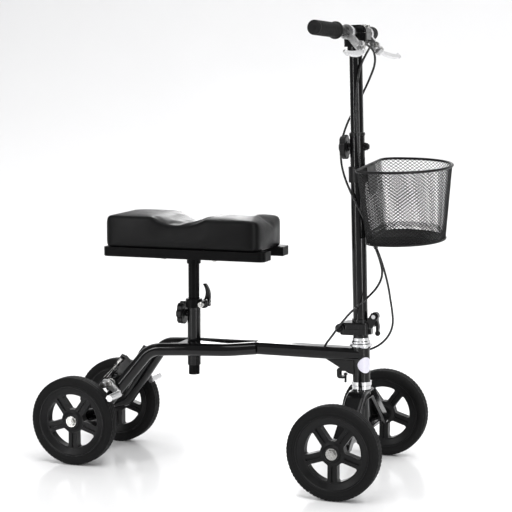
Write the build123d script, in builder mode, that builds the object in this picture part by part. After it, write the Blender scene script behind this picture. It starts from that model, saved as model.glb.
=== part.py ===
"""Steerable knee scooter: folding tiller, height-adjustable padded knee rest, four wheels, rear brakes.

Frame: +X is forward, +Y is the rider's left, +Z is up, in millimetres. The origin is on the floor under
the centre of the overall box. The names "right" and "left" are the rider's.
"""

import os
from math import cos, radians, sin, tan

from build123d import *

os.makedirs("parts", exist_ok=True)

# ---- driving dimensions ----
TYRE_R = 101.6  # an 8 inch wheel
TYRE_HALF = 19.0
RIM_HALF = 17.5
WHEELBASE = 645.0
REAR_TRACK = 243.0
FRONT_TRACK = 412.0
BASKET_REACH = 840.0  # rear axle to the front of the basket
REAR_X = -(BASKET_REACH - TYRE_R) / 2
FRONT_X = REAR_X + WHEELBASE
RAKE = 1.55  # degrees that the tiller leans back
STEER_FOOT_X = REAR_X + 651.8  # where the steering axis meets the floor

# wheels
RIM_R = 81.0
DISC_HALF = 10.0
WINDOW_IN = 27.0
WINDOW_OUT = 62.0
HUB_HALF = 16.0
SPOKES = 5
BEARING_R = 11.0
BEARING_WIDE = 7.0
BOLT_R = 4.0
WASHER_R = 12.5
RUN_FIT = 0.05  # radial clearance of a running fit

# frame tubes
AXLE_TUBE_R = 12.5
RAIL_R = 14.5
BEAM_WIDE = 40.0
BEAM_LOW = 261.0
BEAM_HIGH = 289.0
BEAM_REAR_X = REAR_X + 398
ENTRY_TOP_X = 563.5  # where the right cable goes into the beam, forward of the rear axle
ENTRY_SIDE_X = 618.5  # and the left one
HEAD_R = 19.5
HEAD_LOW = 215.0
HEAD_HIGH = 290.0

# seat
SEAT_X = REAR_X + 247
POST_R = 12.7
SLEEVE_R = 15.25
SLEEVE_LOW = 226.0
SLEEVE_HIGH = 374.0
POST_LOW = 206.0
PAD_LOW = 479.0
BOARD_HIGH = 500.0
PAD_HIGH = 573.0
PAD_REAR = REAR_X + 60
PAD_FRONT = REAR_X + 434
BOARD_FRONT = REAR_X + 448
PAD_HALF = 90.0

# tiller, heights along the steering axis
STEERER_R = 12.7
PIN_X = REAR_X + 600.5
PIN_Z = 333.0
FOLD_SPLIT = 333.0
TILLER_R = 16.25
TILLER_TOP = 755.0
INNER_R = 14.3
INNER_TOP = 951.0
BAR_R = 11.1
BAR_AT = 975.0
CABLE_R = 2.5

# the steering axis as a plane: local x forward, local y left, local z up along the axis
rake = radians(RAKE)
steer = Plane(origin=(STEER_FOOT_X, 0, 0), x_dir=(cos(rake), 0, sin(rake)), z_dir=(-sin(rake), 0, cos(rake)))
steer_axis = Axis(steer.origin, steer.z_dir)
# the same axis seen from the right side: local x forward, local y up along the axis
steer_side = Plane(origin=steer.origin, x_dir=steer.x_dir, z_dir=(0, -1, 0))


def on_tiller(x, y, z):
    """A point given forward of, left of and up along the steering axis."""
    return steer.from_local_coords(Vector(x, y, z))


def keep(piece, name):
    """Labels one finished piece and writes it."""
    piece.label = name
    export_step(piece, f"parts/{name}.step")


def across(x, z, y=0.0):
    """A plane facing the rider's left at the given place: local x is forward, local y is down."""
    return Plane(origin=(x, y, z), x_dir=(1, 0, 0), z_dir=(0, 1, 0))


# ================================================================ wheels
def wheel_section(x, y):
    """The half-section plane of a wheel: local x is along the axle, local y is the radius."""
    return Plane(origin=(x, y, TYRE_R), x_dir=(0, 1, 0), z_dir=(1, 0, 0))


def make_tyre(x, y, name):
    """A solid rubber tyre with rounded shoulders and a bead step on each side wall."""
    with BuildPart() as tyre:
        with BuildSketch(wheel_section(x, y)):
            with BuildLine():
                Polyline((-9, TYRE_R), (9, TYRE_R))
                RadiusArc((9, TYRE_R), (TYRE_HALF, TYRE_R - 10), 10)
                Polyline((TYRE_HALF, TYRE_R - 10), (TYRE_HALF, RIM_R + 6), (RIM_HALF, RIM_R + 4),
                         (RIM_HALF, RIM_R), (-RIM_HALF, RIM_R), (-RIM_HALF, RIM_R + 4), (-TYRE_HALF, RIM_R + 6),
                         (-TYRE_HALF, TYRE_R - 10))
                RadiusArc((-TYRE_HALF, TYRE_R - 10), (-9, TYRE_R), 10)
            make_face()
        revolve(axis=Axis((x, y, TYRE_R), (0, 1, 0)))
    keep(tyre.part, name)


def make_rim(x, y, name):
    """A five-spoke moulded rim: hub with bearing pockets, twin-rib spokes, deep outer ring."""
    axle = Axis((x, y, TYRE_R), (0, 1, 0))
    disc = across(x, TYRE_R, y)
    with BuildPart() as rim:
        with BuildSketch(disc):
            Circle(WINDOW_OUT + 6)
        extrude(amount=DISC_HALF, both=True)
        # rounded openings between the spokes
        with BuildSketch(disc) as openings:
            Circle(WINDOW_OUT)
            Circle(WINDOW_IN, mode=Mode.SUBTRACT)
            with PolarLocations(0, SPOKES, start_angle=90):
                Rectangle(70, 21, align=(Align.MIN, Align.CENTER), mode=Mode.SUBTRACT)
            fillet(openings.vertices(), 4.5)
        extrude(amount=20, both=True, mode=Mode.SUBTRACT)
        # a channel down the middle of each spoke, from both faces
        for side in (-1, 1):
            with BuildSketch(disc.offset(side * (DISC_HALF - 3))):
                with PolarLocations(45, SPOKES, start_angle=90):
                    SlotOverall(36, 5)
            extrude(amount=side * 20, mode=Mode.SUBTRACT)
        with BuildSketch(wheel_section(x, y)):
            with BuildLine():
                Polyline((-RIM_HALF, RIM_R), (RIM_HALF, RIM_R), (RIM_HALF, RIM_R - 2.5), (15.5, RIM_R - 4),
                         (DISC_HALF, WINDOW_OUT + 3), (DISC_HALF, WINDOW_OUT - 0.5),
                         (-DISC_HALF, WINDOW_OUT - 0.5), (-DISC_HALF, WINDOW_OUT + 3), (-15.5, RIM_R - 4), (-RIM_HALF, RIM_R - 2.5),
                         (-RIM_HALF, RIM_R))
            make_face()
            with BuildLine():
                Polyline((-HUB_HALF, 5.5), (HUB_HALF, 5.5), (HUB_HALF, 17), (12.5, 19.5), (DISC_HALF - 0.5, 26),
                         (0.5 - DISC_HALF, 26), (-12.5, 19.5), (-HUB_HALF, 17), (-HUB_HALF, 5.5))
            make_face()
        revolve(axis=axle)
        with BuildSketch(disc):
            Circle(5.5)
        extrude(amount=30, both=True, mode=Mode.SUBTRACT)
        for side in (-1, 1):
            with BuildSketch(disc.offset(side * (HUB_HALF - BEARING_WIDE))):
                Circle(BEARING_R)
            extrude(amount=side * 20, mode=Mode.SUBTRACT)
    keep(rim.part, name)


def make_bearings(x, track, name):
    """Two ball bearings in each hub of one axle, each a ring with a shield groove on its outer face."""
    with BuildPart() as bearings:
        for y in (-track / 2, track / 2):
            for side in (-1, 1):
                with BuildSketch(across(x, TYRE_R, y + side * (HUB_HALF - BEARING_WIDE + 0.1))):
                    Circle(BEARING_R - RUN_FIT)
                    Circle(BOLT_R, mode=Mode.SUBTRACT)
                extrude(amount=side * (BEARING_WIDE - 0.1))
                with BuildSketch(across(x, TYRE_R, y + side * (HUB_HALF - 0.6))):
                    Circle(9)
                    Circle(6, mode=Mode.SUBTRACT)
                extrude(amount=side * 5, mode=Mode.SUBTRACT)
    keep(bearings.part, name)


def make_axle_bolts(x, track, name):
    """A hexagon bolt and its washer on the outer face of each wheel of one axle."""
    with BuildPart() as bolts:
        for side in (-1, 1):
            y = side * track / 2
            face = y + side * (HUB_HALF + 0.1)
            with BuildSketch(across(x, TYRE_R, face)):
                Circle(WASHER_R)
            extrude(amount=side * 1.5)
            with BuildSketch(across(x, TYRE_R, face + side * 1.5)):
                RegularPolygon(9.8, 6)
            extrude(amount=side * 5.4)
            with BuildSketch(across(x, TYRE_R, face + side * 5)):
                Circle(6)
            extrude(amount=side * 3.1)
            with BuildSketch(across(x, TYRE_R, y - side * 55)):
                Circle(BOLT_R)
            extrude(amount=side * (55 + HUB_HALF + 1.6))
    keep(bolts.part, name)


def make_axle_tube(x, track, shoulder):
    """A cross tube stepped down to meet each wheel's inner bearing, with a blind bore for each axle bolt."""
    with BuildPart() as tube:
        with BuildSketch(across(x, TYRE_R)):
            Circle(AXLE_TUBE_R)
        extrude(amount=shoulder, both=True)
        with BuildSketch(across(x, TYRE_R)):
            Circle(8)
        extrude(amount=track / 2 - HUB_HALF - 0.1, both=True)
        for side in (-1, 1):
            with BuildSketch(across(x, TYRE_R, side * (track / 2 - 60))):
                Circle(BOLT_R)
            extrude(amount=side * 65, mode=Mode.SUBTRACT)
    return tube.part


for end, wheel_x, track in (("front", FRONT_X, FRONT_TRACK), ("rear", REAR_X, REAR_TRACK)):
    for hand, side in (("right", -1), ("left", 1)):
        make_tyre(wheel_x, side * track / 2, f"{end}_{hand}_tyre")
        make_rim(wheel_x, side * track / 2, f"{end}_{hand}_rim")
    make_bearings(wheel_x, track, f"{end}_wheel_bearings")
    make_axle_bolts(wheel_x, track, f"{end}_axle_bolts")

# ================================================================ fork
with BuildPart() as fork:
    # splayed legs: one bent plate-like tube, seen from the front
    with BuildSketch(Plane(origin=(FRONT_X, 0, 0), x_dir=(0, 1, 0), z_dir=(1, 0, 0))):
        with BuildLine() as outline:
            Polyline((0, 197), (20, 197))
            ThreePointArc((20, 197), (42, 193), (60, 182))
            Polyline((60, 182), (160, 109), (168, 98), (160, 89), (142, 89), (24, 174), (0, 174))
            mirror(outline.line, about=Plane.YZ)
        make_face()
    extrude(amount=21, both=True)
    fillet(fork.faces().filter_by(Axis.X).edges(), 6)
    # hollow legs, each with a drain hole underneath
    for side in (-1, 1):
        with BuildSketch(Plane(origin=(FRONT_X, 0, 0), x_dir=(0, 1, 0), z_dir=(1, 0, 0))):
            with BuildLine():
                Polyline((side * 26, 190), (side * 40, 188), (side * 56, 179), (side * 146, 114), (side * 134, 99),
                         (side * 26, 177), (side * 26, 190))
            make_face()
        extrude(amount=17, both=True, mode=Mode.SUBTRACT)
        with BuildSketch(Plane.XY.offset(100)):
            with Locations((FRONT_X, side * 105)):
                Circle(3)
        extrude(amount=30, mode=Mode.SUBTRACT)
    add(make_axle_tube(FRONT_X, FRONT_TRACK, 178))
    # crown, steerer tube and centre strut on the steering axis
    with BuildSketch(steer.offset(186)):
        Circle(20)
    extrude(amount=12)
    with BuildSketch(steer.offset(98)):
        Circle(15)
    extrude(amount=95)
    with BuildSketch(steer.offset(190)):
        Circle(STEERER_R)
    extrude(amount=126)
    with BuildSketch(steer.offset(205)):
        Circle(STEERER_R - 3)
    extrude(amount=120, mode=Mode.SUBTRACT)
    for side in (-1, 1):
        with BuildSketch(across(FRONT_X, TYRE_R, side * (FRONT_TRACK / 2 - 60))):
            Circle(BOLT_R)
        extrude(amount=side * 65, mode=Mode.SUBTRACT)
keep(fork.part, "fork")

# ================================================================ frame
with BuildPart() as beam:
    # a flattened box section from the rails to the head tube
    with BuildSketch(Plane.YZ.offset(BEAM_REAR_X)):
        with Locations((0, (BEAM_LOW + BEAM_HIGH) / 2)):
            RectangleRounded(BEAM_WIDE, BEAM_HIGH - BEAM_LOW, 9)
    extrude(amount=STEER_FOOT_X - 8 - BEAM_REAR_X)
    fillet(beam.faces().sort_by(Axis.X)[0].edges(), 6)
    # hollow, with a hole on top and one on the left where the brake cables go in
    with BuildSketch(Plane.YZ.offset(BEAM_REAR_X + 3)):
        with Locations((0, (BEAM_LOW + BEAM_HIGH) / 2)):
            RectangleRounded(BEAM_WIDE - 5, BEAM_HIGH - BEAM_LOW - 5, 6.5)
    extrude(amount=REAR_X + 622 - BEAM_REAR_X - 3, mode=Mode.SUBTRACT)
    with BuildSketch(Plane.XY.offset(BEAM_HIGH - 8)):
        with Locations((REAR_X + ENTRY_TOP_X, -10)):
            Circle(CABLE_R + 0.4)
    extrude(amount=20, mode=Mode.SUBTRACT)
    with BuildSketch(across(0, 0, BEAM_WIDE / 2 - 8)):
        with Locations((REAR_X + ENTRY_SIDE_X, -275)):
            Circle(CABLE_R + 0.8)
    extrude(amount=20, mode=Mode.SUBTRACT)
    # gusset under the beam, behind the head tube
    with BuildSketch(Plane.XZ):
        with BuildLine():
            Polyline((REAR_X + 560, BEAM_LOW + 4), (REAR_X + 640, BEAM_LOW + 4), (REAR_X + 640, 228),
                     (REAR_X + 620, 232), (REAR_X + 560, BEAM_LOW + 4))
        make_face()
    extrude(amount=13, both=True)
    with BuildSketch(steer.offset(HEAD_LOW)):
        Circle(HEAD_R)
    extrude(amount=HEAD_HIGH - HEAD_LOW)
    with BuildSketch(steer.offset(HEAD_LOW - 5)):
        Circle(16)
    extrude(amount=HEAD_HIGH - HEAD_LOW + 10, mode=Mode.SUBTRACT)
keep(beam.part, "main_beam")

rail_route = [
    (REAR_X + 402, 13, 275),
    (REAR_X + 340, 32, 270),
    (REAR_X + 247, 40, 267.5),
    (REAR_X + 155, 44, 262),
    (REAR_X + 40, 82, 112),
    (REAR_X, 84, TYRE_R),
]
BRAKE_X = REAR_X + 74
BRAKE_Z = 186.0
ARM_Y = 90.0
SHOE_X = REAR_X + 97
SHOE_Z = 163.0



def sweep_rails(radius):
    """A round bar of the given radius along both rails."""
    with BuildPart() as bars:
        for side in (1, -1):
            points = [Vector(x, side * y, z) for x, y, z in rail_route]
            with BuildLine() as route:
                FilletPolyline(*points, radius=[160, 160, 48, 30])
            with BuildSketch(Plane(origin=points[0], z_dir=points[1] - points[0])):
                Circle(radius)
            sweep(path=route.wires()[0])
    return bars.part


rail_cores = sweep_rails(RAIL_R - 2)
with BuildPart() as rails:
    add(sweep_rails(RAIL_R))
    for side in (1, -1):
        # boss for the rear brake on each leg
        with BuildSketch(across(BRAKE_X, BRAKE_Z, side * 58)):
            Circle(9)
        extrude(amount=side * (ARM_Y - 2.2 - 58))
        # plate along the top of the leg, from the brake pivot up to the cable adjuster
        with BuildSketch(across(BRAKE_X, BRAKE_Z, side * 58)):
            with BuildLine():
                Polyline((-9, 0), (-7, -22), (8, -50), (20, -66), (30, -62), (48, -44), (6, 20), (-9, 0))
            make_face()
        extrude(amount=side * 4)
    # the joint with the beam and with the seat sleeve
    with BuildSketch(Plane.YZ.offset(BEAM_REAR_X)):
        with Locations((0, (BEAM_LOW + BEAM_HIGH) / 2)):
            RectangleRounded(BEAM_WIDE, BEAM_HIGH - BEAM_LOW, 9)
    extrude(amount=80, mode=Mode.SUBTRACT)
    for side in (1, -1):
        with BuildSketch(across(BRAKE_X, BRAKE_Z, side * 70)):
            Circle(3)
        extrude(amount=side * 30, mode=Mode.SUBTRACT)
    add(rail_cores, mode=Mode.SUBTRACT)
    with BuildSketch(across(REAR_X, TYRE_R)):
        Circle(AXLE_TUBE_R)
    extrude(amount=120, both=True, mode=Mode.SUBTRACT)
rails_solid = rails.part - beam.part
keep(rails_solid, "side_rails")

rear_tube = make_axle_tube(REAR_X, REAR_TRACK, 97)
keep(rear_tube, "rear_axle_tube")

with BuildPart() as bracket:
    # seat sleeve, a plate across the rails above and below, and a rib on each side of the sleeve
    with BuildSketch(Plane.XY.offset(SLEEVE_LOW)):
        with Locations((SEAT_X, 0)):
            Circle(SLEEVE_R)
    extrude(amount=SLEEVE_HIGH - SLEEVE_LOW)
    for level, reach in ((274, 86), (258, 46)):
        with BuildSketch(Plane.XY.offset(level)) as plate:
            with Locations((SEAT_X - 30, 0)):
                Rectangle(30 + reach, 76, align=(Align.MIN, Align.CENTER))
            fillet(plate.vertices(), 12)
        extrude(amount=4)
    # threaded boss for the height knob at the back, and two plug rivets on the right side
    with BuildSketch(Plane.YZ.offset(SEAT_X - 19.5)):
        with Locations((0, 345)):
            Circle(8)
    extrude(amount=10)
    with BuildSketch(Plane.YZ.offset(SEAT_X - 25)):
        with Locations((0, 345)):
            Circle(4 + RUN_FIT)
    extrude(amount=25, mode=Mode.SUBTRACT)
    with BuildSketch(Plane.XY.offset(SLEEVE_LOW - 5)):
        with Locations((SEAT_X, 0)):
            Circle(POST_R + 0.08)
    extrude(amount=SLEEVE_HIGH - SLEEVE_LOW + 10, mode=Mode.SUBTRACT)
    # the slit that lets the collar squeeze the sleeve
    with BuildSketch(Plane.XY.offset(352)):
        with Locations((SEAT_X + 14, 0)):
            Rectangle(8, 2)
    extrude(amount=30, mode=Mode.SUBTRACT)
keep(bracket.part - rails_solid - rail_cores - beam.part, "seat_bracket")

with BuildPart() as headset_cups:
    with BuildSketch(steer.offset(HEAD_HIGH)):
        Circle(25)
    extrude(amount=9)
    chamfer(headset_cups.edges().group_by(Axis.Z)[0], 4)
    with BuildSketch(steer.offset(HEAD_HIGH - 9)):
        Circle(16)
    extrude(amount=10)
    with BuildSketch(steer.offset(HEAD_LOW - 8)):
        Circle(HEAD_R + 3)
    extrude(amount=8)
    with BuildSketch(steer.offset(HEAD_LOW - 1)):
        Circle(16)
    extrude(amount=10)
    with BuildSketch(steer.offset(HEAD_LOW - 20)):
        Circle(13.4)
    extrude(amount=120, mode=Mode.SUBTRACT)
    with BuildSketch(steer.offset(HEAD_HIGH + 2)):
        Circle(19)
    extrude(amount=20, mode=Mode.SUBTRACT)
    with BuildSketch(steer.offset(HEAD_LOW - 2)):
        Circle(19)
    extrude(amount=-20, mode=Mode.SUBTRACT)
keep(headset_cups.part, "headset_cups")

with BuildPart() as headset_bearings:
    for level in (HEAD_HIGH + 2, HEAD_LOW - 8.5):
        with BuildSketch(steer.offset(level)):
            Circle(19)
            Circle(STEERER_R + RUN_FIT, mode=Mode.SUBTRACT)
        extrude(amount=6.5)
keep(headset_bearings.part, "headset_bearings")

with BuildPart() as headset_rings:
    # crown race, then the adjusting nut and the lock nut on top
    for level, radius, high in ((198, 20.5, 7.8), (299.4, 21.5, 6.4), (306, 19.5, 6.5)):
        with BuildSketch(steer.offset(level)):
            Circle(radius)
            Circle(STEERER_R, mode=Mode.SUBTRACT)
        extrude(amount=high)
    chamfer(headset_rings.edges().filter_by(GeomType.CIRCLE).group_by(SortBy.RADIUS)[-1], 1.5)
keep(headset_rings.part, "headset_rings")

with BuildPart() as badge:
    with BuildSketch(steer.offset(HEAD_LOW)):
        Circle(HEAD_R + 0.8)
        Circle(HEAD_R, mode=Mode.SUBTRACT)
    extrude(amount=60)
    # only the oval on the right front quarter stays
    badge_at = on_tiller(0, 0, 253)
    with BuildSketch(Plane(origin=badge_at, x_dir=(0.7, 0.714, 0), z_dir=(0.714, -0.7, 0))):
        Ellipse(16, 17.5)
    extrude(amount=40, mode=Mode.INTERSECT)
keep(badge.part, "head_badge")

# ---- seat clamp: collar with two ears at the front, skewer along Y, nut on the right, lever on the left
CLAMP_X = SEAT_X + 23
CLAMP_Z = 367.0
with BuildPart() as collar:
    with BuildSketch(Plane.XY.offset(CLAMP_Z - 8)):
        with Locations((SEAT_X, 0)):
            Circle(SLEEVE_R + 4)
        with Locations((SEAT_X + 20, 0)):
            Rectangle(22, 20)
    extrude(amount=16)
    fillet(collar.edges().filter_by(Axis.Z).sort_by(Axis.X)[-2:], 4)
    with BuildSketch(Plane.XY.offset(CLAMP_Z - 20)):
        with Locations((SEAT_X, 0)):
            Circle(SLEEVE_R)
        with Locations((SEAT_X + 25, 0)):
            Rectangle(22, 4)
    extrude(amount=40, mode=Mode.SUBTRACT)
    # the lip that sits on the top of the sleeve
    with BuildSketch(Plane.XY.offset(SLEEVE_HIGH)):
        with Locations((SEAT_X, 0)):
            Circle(SLEEVE_R + 4)
            Circle(POST_R + 0.08, mode=Mode.SUBTRACT)
    extrude(amount=5)
    with BuildSketch(across(CLAMP_X, CLAMP_Z)):
        Circle(3)
    extrude(amount=30, both=True, mode=Mode.SUBTRACT)
keep(collar.part, "seat_clamp_collar")

with BuildPart() as clamp_bolt:
    with BuildSketch(across(CLAMP_X, CLAMP_Z, -17)):
        Circle(3)
    extrude(amount=37)
    with BuildSketch(across(CLAMP_X, CLAMP_Z, -10)):
        Circle(6.5)
    extrude(amount=-8)
    with BuildSketch(across(CLAMP_X, CLAMP_Z, -18)):
        RegularPolygon(4, 6)
    extrude(amount=-2)
    # eye that the cam lever turns on
    with BuildSketch(across(CLAMP_X, CLAMP_Z, 14)):
        Rectangle(5, 10)
    extrude(amount=12)
    with BuildSketch(Plane.YZ.offset(CLAMP_X - 9)):
        with Locations((21, CLAMP_Z)):
            Circle(2.5)
    extrude(amount=18)
keep(clamp_bolt.part, "seat_clamp_bolt")

with BuildPart() as clamp_lever:
    # a forked cam that rides on the eye, then a curved blade up beside the post
    with BuildSketch(Plane.YZ.offset(CLAMP_X - 8)):
        with Locations((21, CLAMP_Z)):
            Circle(8)
    extrude(amount=16)
    with BuildSketch(across(CLAMP_X, CLAMP_Z, 16)):
        with BuildLine():
            Polyline((-7, 0), (-6, -8))
            ThreePointArc((-6, -8), (-1, -26), (-9, -45))
            Line((-9, -45), (-2, -45))
            ThreePointArc((-2, -45), (9, -24), (7, 0))
            Line((7, 0), (-7, 0))
        make_face()
    extrude(amount=8)
    fillet(clamp_lever.faces().sort_by(Axis.Z)[-1].edges(), 2)
    with BuildSketch(Plane.YZ.offset(CLAMP_X - 3.3)):
        with Locations((21, CLAMP_Z)):
            Circle(9.5)
    extrude(amount=6.6, mode=Mode.SUBTRACT)
    with BuildSketch(Plane.YZ.offset(CLAMP_X - 20)):
        with Locations((21, CLAMP_Z)):
            Circle(2.5 + RUN_FIT)
    extrude(amount=40, mode=Mode.SUBTRACT)
keep(clamp_lever.part, "seat_clamp_lever")


def make_star_knob(face, reach, name):
    """A seven-lobed knob on a threaded stud; face is the plane of its back, its normal towards the tube."""
    with BuildPart() as knob:
        with BuildSketch(face.offset(-14)) as lobes:
            Circle(26.5)
            with PolarLocations(32, 7):
                Circle(8.5, mode=Mode.SUBTRACT)
            fillet(lobes.vertices(), 2.5)
        extrude(amount=13)
        fillet(knob.faces().sort_by(SortBy.AREA)[-2:].edges(), 2)
        with BuildSketch(face.offset(-17)):
            Circle(13)
        extrude(amount=17)
        with BuildSketch(face.offset(-1)):
            Circle(4)
        extrude(amount=1 + reach)
    keep(knob.part, name)


make_star_knob(
    Plane(origin=(SEAT_X - 20.5, 0, 345), x_dir=(0, 1, 0), z_dir=(1, 0, 0)), 20.5 - POST_R - 0.5, "seat_height_knob"
)

# ---- seat post, mounting plate, board and cushion
with BuildPart() as post:
    with BuildSketch(Plane.XY.offset(POST_LOW)):
        with Locations((SEAT_X, 0)):
            Circle(POST_R)
    extrude(amount=PAD_LOW - 5 - POST_LOW)
    with BuildSketch(Plane.XY.offset(POST_LOW - 1)):
        with Locations((SEAT_X, 0)):
            Circle(POST_R - 1.8)
    extrude(amount=PAD_LOW - 40 - POST_LOW, mode=Mode.SUBTRACT)
    # height holes up the back of the post
    for step in range(8):
        with BuildSketch(Plane.YZ.offset(SEAT_X - 16)):
            with Locations((0, POST_LOW + 22 + 25.4 * step)):
                Circle(4)
        extrude(amount=8, mode=Mode.SUBTRACT)
    with BuildSketch(Plane.XY.offset(POST_LOW - 2)):
        with Locations((SEAT_X, 0)):
            Circle(POST_R)
    extrude(amount=2)
keep(post.part, "seat_post")

with BuildPart() as seat_plate:
    with BuildSketch(Plane.XY.offset(PAD_LOW - 5)):
        with Locations((SEAT_X, 0)):
            RectangleRounded(150, 84, 10)
    extrude(amount=5)
    with BuildSketch(Plane.XY.offset(PAD_LOW - 19)):
        with Locations((SEAT_X, 0)):
            Circle(16)
    extrude(amount=14)
    with BuildSketch(Plane.XY.offset(PAD_LOW - 30)):
        with Locations((SEAT_X, 0)):
            Circle(POST_R)
    extrude(amount=25, mode=Mode.SUBTRACT)
    with BuildSketch(Plane.XY.offset(PAD_LOW - 10)):
        with Locations((SEAT_X, 0)):
            with GridLocations(124, 60, 2, 2):
                Circle(3)
    extrude(amount=12, mode=Mode.SUBTRACT)
keep(seat_plate.part, "seat_mount_plate")

with BuildPart() as seat_bolts:
    for x in (-62, 62):
        for y in (-30, 30):
            with BuildSketch(Plane.XY.offset(PAD_LOW - 9)):
                with Locations((SEAT_X + x, y)):
                    RegularPolygon(5.6, 6)
            extrude(amount=4)
            with BuildSketch(Plane.XY.offset(PAD_LOW - 5)):
                with Locations((SEAT_X + x, y)):
                    Circle(3)
            extrude(amount=20)
keep(seat_bolts.part, "seat_bolts")

with BuildPart() as board:
    middle = (PAD_REAR + BOARD_FRONT) / 2
    with BuildSketch(Plane.XY.offset(PAD_LOW)) as outline:
        with Locations((middle, 0)):
            RectangleRounded(BOARD_FRONT - PAD_REAR, 2 * PAD_HALF, 14)
        # a notch in the middle of each end
        for x in (PAD_REAR, BOARD_FRONT):
            with Locations((x, 0)):
                RectangleRounded(110, 84, 10, mode=Mode.SUBTRACT)
    extrude(amount=BOARD_HIGH - PAD_LOW)
    fillet(board.faces().sort_by(Axis.Z)[0].edges(), 2)
    for x in (-62, 62):
        for y in (-30, 30):
            with BuildSketch(Plane.XY.offset(PAD_LOW - 1)):
                with Locations((SEAT_X + x, y)):
                    Circle(3)
            extrude(amount=16, mode=Mode.SUBTRACT)
keep(board.part, "seat_base_board")

with BuildPart() as cushion:
    with BuildSketch(Plane.XZ):
        with BuildLine():
            Polyline((PAD_REAR, PAD_HIGH - 14), (PAD_REAR, BOARD_HIGH), (PAD_FRONT, BOARD_HIGH),
                     (PAD_FRONT, PAD_HIGH - 16))
            RadiusArc((PAD_FRONT, PAD_HIGH - 16), (PAD_FRONT - 14, PAD_HIGH - 3), -14)
            Line((PAD_FRONT - 14, PAD_HIGH - 3), (SEAT_X + 60, PAD_HIGH - 3))
            ThreePointArc((SEAT_X + 60, PAD_HIGH - 3), (SEAT_X, PAD_HIGH - 20), (SEAT_X - 66, PAD_HIGH))
            Line((SEAT_X - 66, PAD_HIGH), (PAD_REAR + 14, PAD_HIGH))
            RadiusArc((PAD_REAR + 14, PAD_HIGH), (PAD_REAR, PAD_HIGH - 14), -14)
        make_face()
    extrude(amount=PAD_HALF, both=True)
    with BuildSketch(Plane.XY.offset(BOARD_HIGH)):
        with Locations(((PAD_REAR + PAD_FRONT) / 2, 0)):
            RectangleRounded(PAD_FRONT - PAD_REAR, 2 * PAD_HALF, 22)
    extrude(amount=PAD_HIGH - BOARD_HIGH, mode=Mode.INTERSECT)
keep(cushion.part, "seat_cushion")


# ================================================================ folding joint of the tiller
def fold_side(x, z, y=0.0):
    """A plane seen from the right side, at a place given in the frame's own X and Z."""
    return Plane(origin=(x, y, z), x_dir=steer.x_dir, z_dir=(0, -1, 0))


BLOCK_REAR = -44.0  # forward of the steering axis
BLOCK_FRONT = 22.0
BLOCK_HALF = 22.0
with BuildPart() as fold_lower:
    with BuildSketch(steer.offset(319)) as outline:
        with Locations(((BLOCK_REAR + BLOCK_FRONT) / 2, 0)):
            Rectangle(BLOCK_FRONT - BLOCK_REAR, 2 * BLOCK_HALF)
        fillet(outline.vertices(), 12)
    extrude(amount=FOLD_SPLIT - 319.3)
    fillet(fold_lower.faces().sort_by(Axis.Z)[0].edges(), 3)
    # spigot down onto the steerer
    with BuildSketch(steer.offset(313)):
        Circle(17)
    extrude(amount=8)
    # knuckles round the hinge bolt, outside the upper half's one
    for side in (-1, 1):
        with BuildSketch(fold_side(PIN_X, PIN_Z, side * 17)):
            Circle(10)
        extrude(amount=5, both=True)
    with BuildSketch(fold_side(PIN_X, PIN_Z)):
        Circle(10.6)
    extrude(amount=12, both=True, mode=Mode.SUBTRACT)
    with BuildSketch(fold_side(PIN_X, PIN_Z)):
        Circle(4)
    extrude(amount=30, both=True, mode=Mode.SUBTRACT)
    # the nose that the latch lever closes over
    with BuildSketch(steer.offset(320)):
        with Locations((BLOCK_FRONT - 2, 0)):
            Rectangle(6, 16, align=(Align.MIN, Align.CENTER))
    extrude(amount=12)
    with BuildSketch(steer.offset(306)):
        Circle(STEERER_R)
    extrude(amount=10.2, mode=Mode.SUBTRACT)
keep(fold_lower.part, "fold_block_lower")

with BuildPart() as fold_upper:
    with BuildSketch(steer.offset(FOLD_SPLIT)) as outline:
        with Locations(((BLOCK_REAR + 6 + BLOCK_FRONT) / 2, 0)):
            Rectangle(BLOCK_FRONT - BLOCK_REAR - 6, 2 * BLOCK_HALF)
        fillet(outline.vertices(), 12)
    extrude(amount=14)
    fillet(fold_upper.faces().sort_by(Axis.Z)[-1].edges(), 3)
    # room for the lower half's knuckles
    for side in (-1, 1):
        with BuildSketch(fold_side(PIN_X, PIN_Z, side * 18)):
            Circle(10.6)
        extrude(amount=6.3, both=True, mode=Mode.SUBTRACT)
    with BuildSketch(fold_side(PIN_X, PIN_Z)):
        Circle(10)
    extrude(amount=11.4, both=True)
    with BuildSketch(fold_side(PIN_X, PIN_Z)):
        with BuildLine():
            Polyline((0, 0), (0, 10), (14, 10), (14, 0), (0, 0))
        make_face()
    extrude(amount=11.4, both=True)
    with BuildSketch(fold_side(PIN_X, PIN_Z)):
        Circle(4 + RUN_FIT)
    extrude(amount=30, both=True, mode=Mode.SUBTRACT)
    # two ears in front that carry the latch lever
    for side in (-1, 1):
        with BuildSketch(steer_side.offset(side * 10)):
            with BuildLine():
                Polyline((BLOCK_FRONT - 8, FOLD_SPLIT + 2), (BLOCK_FRONT + 8, FOLD_SPLIT + 2),
                         (BLOCK_FRONT + 17, 351), (BLOCK_FRONT + 17, 366), (BLOCK_FRONT + 6, 368),
                         (BLOCK_FRONT - 8, 346), (BLOCK_FRONT - 8, FOLD_SPLIT + 2))
            make_face()
        extrude(amount=2, both=True)
    with BuildSketch(steer_side):
        with Locations((BLOCK_FRONT + 11, 360)):
            Circle(2.5)
    extrude(amount=14, both=True, mode=Mode.SUBTRACT)
    # socket of the outer tube
    with BuildSketch(steer.offset(346)):
        Circle(TILLER_R + 3)
    extrude(amount=8)
    with BuildSketch(steer.offset(344)):
        Circle(TILLER_R)
    extrude(amount=20, mode=Mode.SUBTRACT)
keep(fold_upper.part, "fold_block_upper")

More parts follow.
